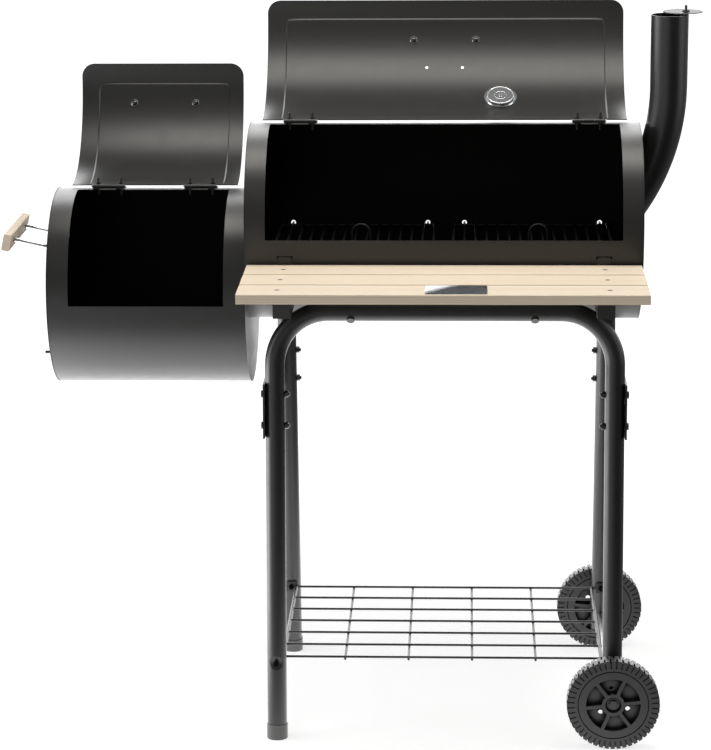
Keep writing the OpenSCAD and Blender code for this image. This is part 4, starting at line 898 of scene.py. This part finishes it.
def studio_floor():
    """A pale floor that keeps the smoker's soft shadow and goes to white further out. In the
    coat it shows as a sheen of its own, brighter behind the smoker and in front on the left."""
    mesh = bmesh.new()
    previous = None
    for radius in FLOOR_RINGS:
        ring = [mesh.verts.new((radius * math.cos(i * math.pi / (FLOOR_SIDES // 2)),
                                radius * math.sin(i * math.pi / (FLOOR_SIDES // 2)), FLOOR_Z))
                for i in range(FLOOR_SIDES)]
        if previous is None:
            mesh.faces.new(ring)
        else:
            for i in range(FLOOR_SIDES):
                k = (i + 1) % FLOOR_SIDES
                mesh.faces.new((previous[i], ring[i], ring[k], previous[k]))
        previous = ring
    bmesh.ops.recalc_face_normals(mesh, faces=mesh.faces)
    data = bpy.data.meshes.new("studio_floor")
    mesh.to_mesh(data)
    mesh.free()
    floor = bpy.data.objects.new("studio_floor", data)
    bpy.context.scene.collection.objects.link(floor)
    material = bpy.data.materials.new("studio_floor_paint")
    material.use_nodes = True
    material.node_tree.nodes.clear()
    t = Tree(material.node_tree)
    out = t.add("ShaderNodeOutputMaterial")
    matt = t.add("ShaderNodeBsdfDiffuse")
    matt.inputs["Color"].default_value = FLOOR_PAINT
    glow = t.emission()
    path = t.add("ShaderNodeLightPath")
    seen = t.math("MAXIMUM", path.outputs["Is Camera Ray"], path.outputs["Is Transmission Ray"])
    spot = t.add("ShaderNodeTexCoord").outputs["Object"]
    away = t.add("ShaderNodeVectorMath", operation="LENGTH")
    t.link(spot, away.inputs[0])
    speckle = t.noise(spot, 40.0, 3.0, 0.6)
    faded = t.spread(away.outputs["Value"], WHITE_FROM, WHITE_TO, NEAR_GLOW, 1.0)
    faded = t.math("SUBTRACT", faded, t.math("MULTIPLY", speckle, 0.004))
    t.feed(glow.inputs["Strength"], t.math("MULTIPLY", seen, faded))
    part = t.parts(spot)
    depth = t.spread(part["Y"], -0.95, -0.15, FLOOR_FRONT, FLOOR_BACK)
    right = t.spread(part["X"], 0.2, 0.9, 1.0, FLOOR_RIGHT)
    near = t.spread(part["Y"], 0.2, 0.6, FLOOR_LEFT_MORE, 0.0)
    leftward = t.spread(part["X"], -1.0, -0.45, 1.0, 0.0)
    left = t.math("ADD", 1.0, t.math("MULTIPLY", near, leftward))
    sheen = t.emission()
    t.feed(sheen.inputs["Strength"], t.math("MULTIPLY", depth, t.math("MULTIPLY", left, right)))
    both = t.add("ShaderNodeAddShader")
    t.link(matt.outputs[0], both.inputs[0])
    t.link(glow.outputs[0], both.inputs[1])
    chosen = t.add("ShaderNodeMixShader")
    t.link(path.outputs["Is Glossy Ray"], chosen.inputs[0])
    t.link(both.outputs[0], chosen.inputs[1])
    t.link(sheen.outputs[0], chosen.inputs[2])
    t.link(chosen.outputs[0], out.inputs["Surface"])
    data.materials.append(material)


def studio_world():
    """White behind the smoker and in what the camera sees; dimmer around it, so that the
    lamps shape it."""
    world = bpy.data.worlds.new("studio")
    bpy.context.scene.world = world
    world.use_nodes = True
    world.node_tree.nodes.clear()
    t = Tree(world.node_tree)
    out = t.add("ShaderNodeOutputWorld")
    sky = t.add("ShaderNodeBackground")
    sky.inputs["Color"].default_value = WHITE
    path = t.add("ShaderNodeLightPath")
    seen = t.math("MAXIMUM", path.outputs["Is Camera Ray"], path.outputs["Is Transmission Ray"])
    part = t.parts(t.add("ShaderNodeTexCoord").outputs["Generated"])
    behind = t.spread(part["Y"], -0.1, 0.6, WORLD_FRONT, WORLD_BACK)
    overhead = t.spread(part["Z"], 0.76, 0.88, 1.0, WORLD_TOP)
    high = t.spread(part["Z"], 0.4, 0.6, 1.0, WORLD_HIGH)
    behind = t.math("MULTIPLY", behind, t.math("MULTIPLY", high, overhead))
    beside = t.spread(part["X"], 0.55, 0.85, 1.0, WORLD_BESIDE)
    glossy = t.math("MULTIPLY", path.outputs["Is Glossy Ray"], t.math("MULTIPLY", behind, beside))
    other = t.math("SUBTRACT", 1.0, t.math("MAXIMUM", seen, path.outputs["Is Glossy Ray"]),
                   clamp=True)
    around = t.math("MULTIPLY", other, WORLD_AROUND)
    t.feed(sky.inputs["Strength"], t.math("ADD", seen, t.math("ADD", glossy, around)))
    t.link(sky.outputs[0], out.inputs["Surface"])


def softbox(name, at, aim, size, glow, mirrored=True, colour=(1, 1, 1)):
    """A flat lamp of this brightness over its whole face. One that isn't mirrored lights the
    smoker without showing in its coat."""
    data = bpy.data.lights.new(name, "AREA")
    data.shape = "RECTANGLE"
    data.size, data.size_y = size
    data.energy = glow * math.pi * size[0] * size[1]
    data.color = colour
    lamp = bpy.data.objects.new(name, data)
    bpy.context.scene.collection.objects.link(lamp)
    lamp.location = at
    lamp.rotation_euler = (Vector(aim) - Vector(at)).to_track_quat("-Z", "Y").to_euler()
    lamp.visible_glossy = mirrored
    lamp.visible_camera = False


studio_floor()
studio_world()
softbox("overhead_panel", (0.16, -0.06, 1.62), (0.16, -0.06, 0.0), (1.4, 0.38), 6.2,
        colour=(1.0, 0.965, 0.92))
softbox("left_panel", (-1.6, 0.0, 0.75), (0.0, 0.0, 0.75), (1.5, 1.5), 2.0)
softbox("right_panel", (1.9, -0.3, 1.3), (0.1, 0.0, 1.1), (1.0, 1.4), 1.2)
softbox("front_fill", (-1.3, -3.6, 1.1), (0.0, 0.0, 0.5), (2.4, 1.6), 2.4, mirrored=False)


# ------------------------------------------------------------------------ camera

CAMERA_AT = (0.1856, -4.3583, 1.6594)
CAMERA_YAW, CAMERA_PITCH, CAMERA_ROLL = 2.37, -13.956, 0.418
SENSOR_WIDTH = 36.0
FOCAL_LENGTH, SEEN_WIDTH = 2733.98, 711.0  # in one unit, the same for both


def studio_camera():
    """The camera stands at eye height in front, and looks 14 degrees down at the smoker."""
    yaw, pitch, roll = (math.radians(a) for a in (CAMERA_YAW, CAMERA_PITCH, CAMERA_ROLL))
    turn = (Matrix.Rotation(yaw, 3, "Z") @ Matrix.Rotation(pitch, 3, "X")
            @ Matrix.Rotation(roll, 3, "Y"))
    right, ahead, up = turn.col[0], turn.col[1], turn.col[2]
    data = bpy.data.cameras.new("studio_camera")
    data.sensor_fit = "HORIZONTAL"
    data.sensor_width = SENSOR_WIDTH
    data.lens = FOCAL_LENGTH * SENSOR_WIDTH / SEEN_WIDTH
    data.clip_start, data.clip_end = 0.1, 100.0
    camera = bpy.data.objects.new("studio_camera", data)
    bpy.context.scene.collection.objects.link(camera)
    facing = Matrix((right, up, -ahead)).transposed()
    camera.matrix_world = Matrix.Translation(CAMERA_AT) @ facing.to_4x4()
    bpy.context.scene.camera = camera


studio_camera()
bpy.context.scene.view_settings.view_transform = "Standard"
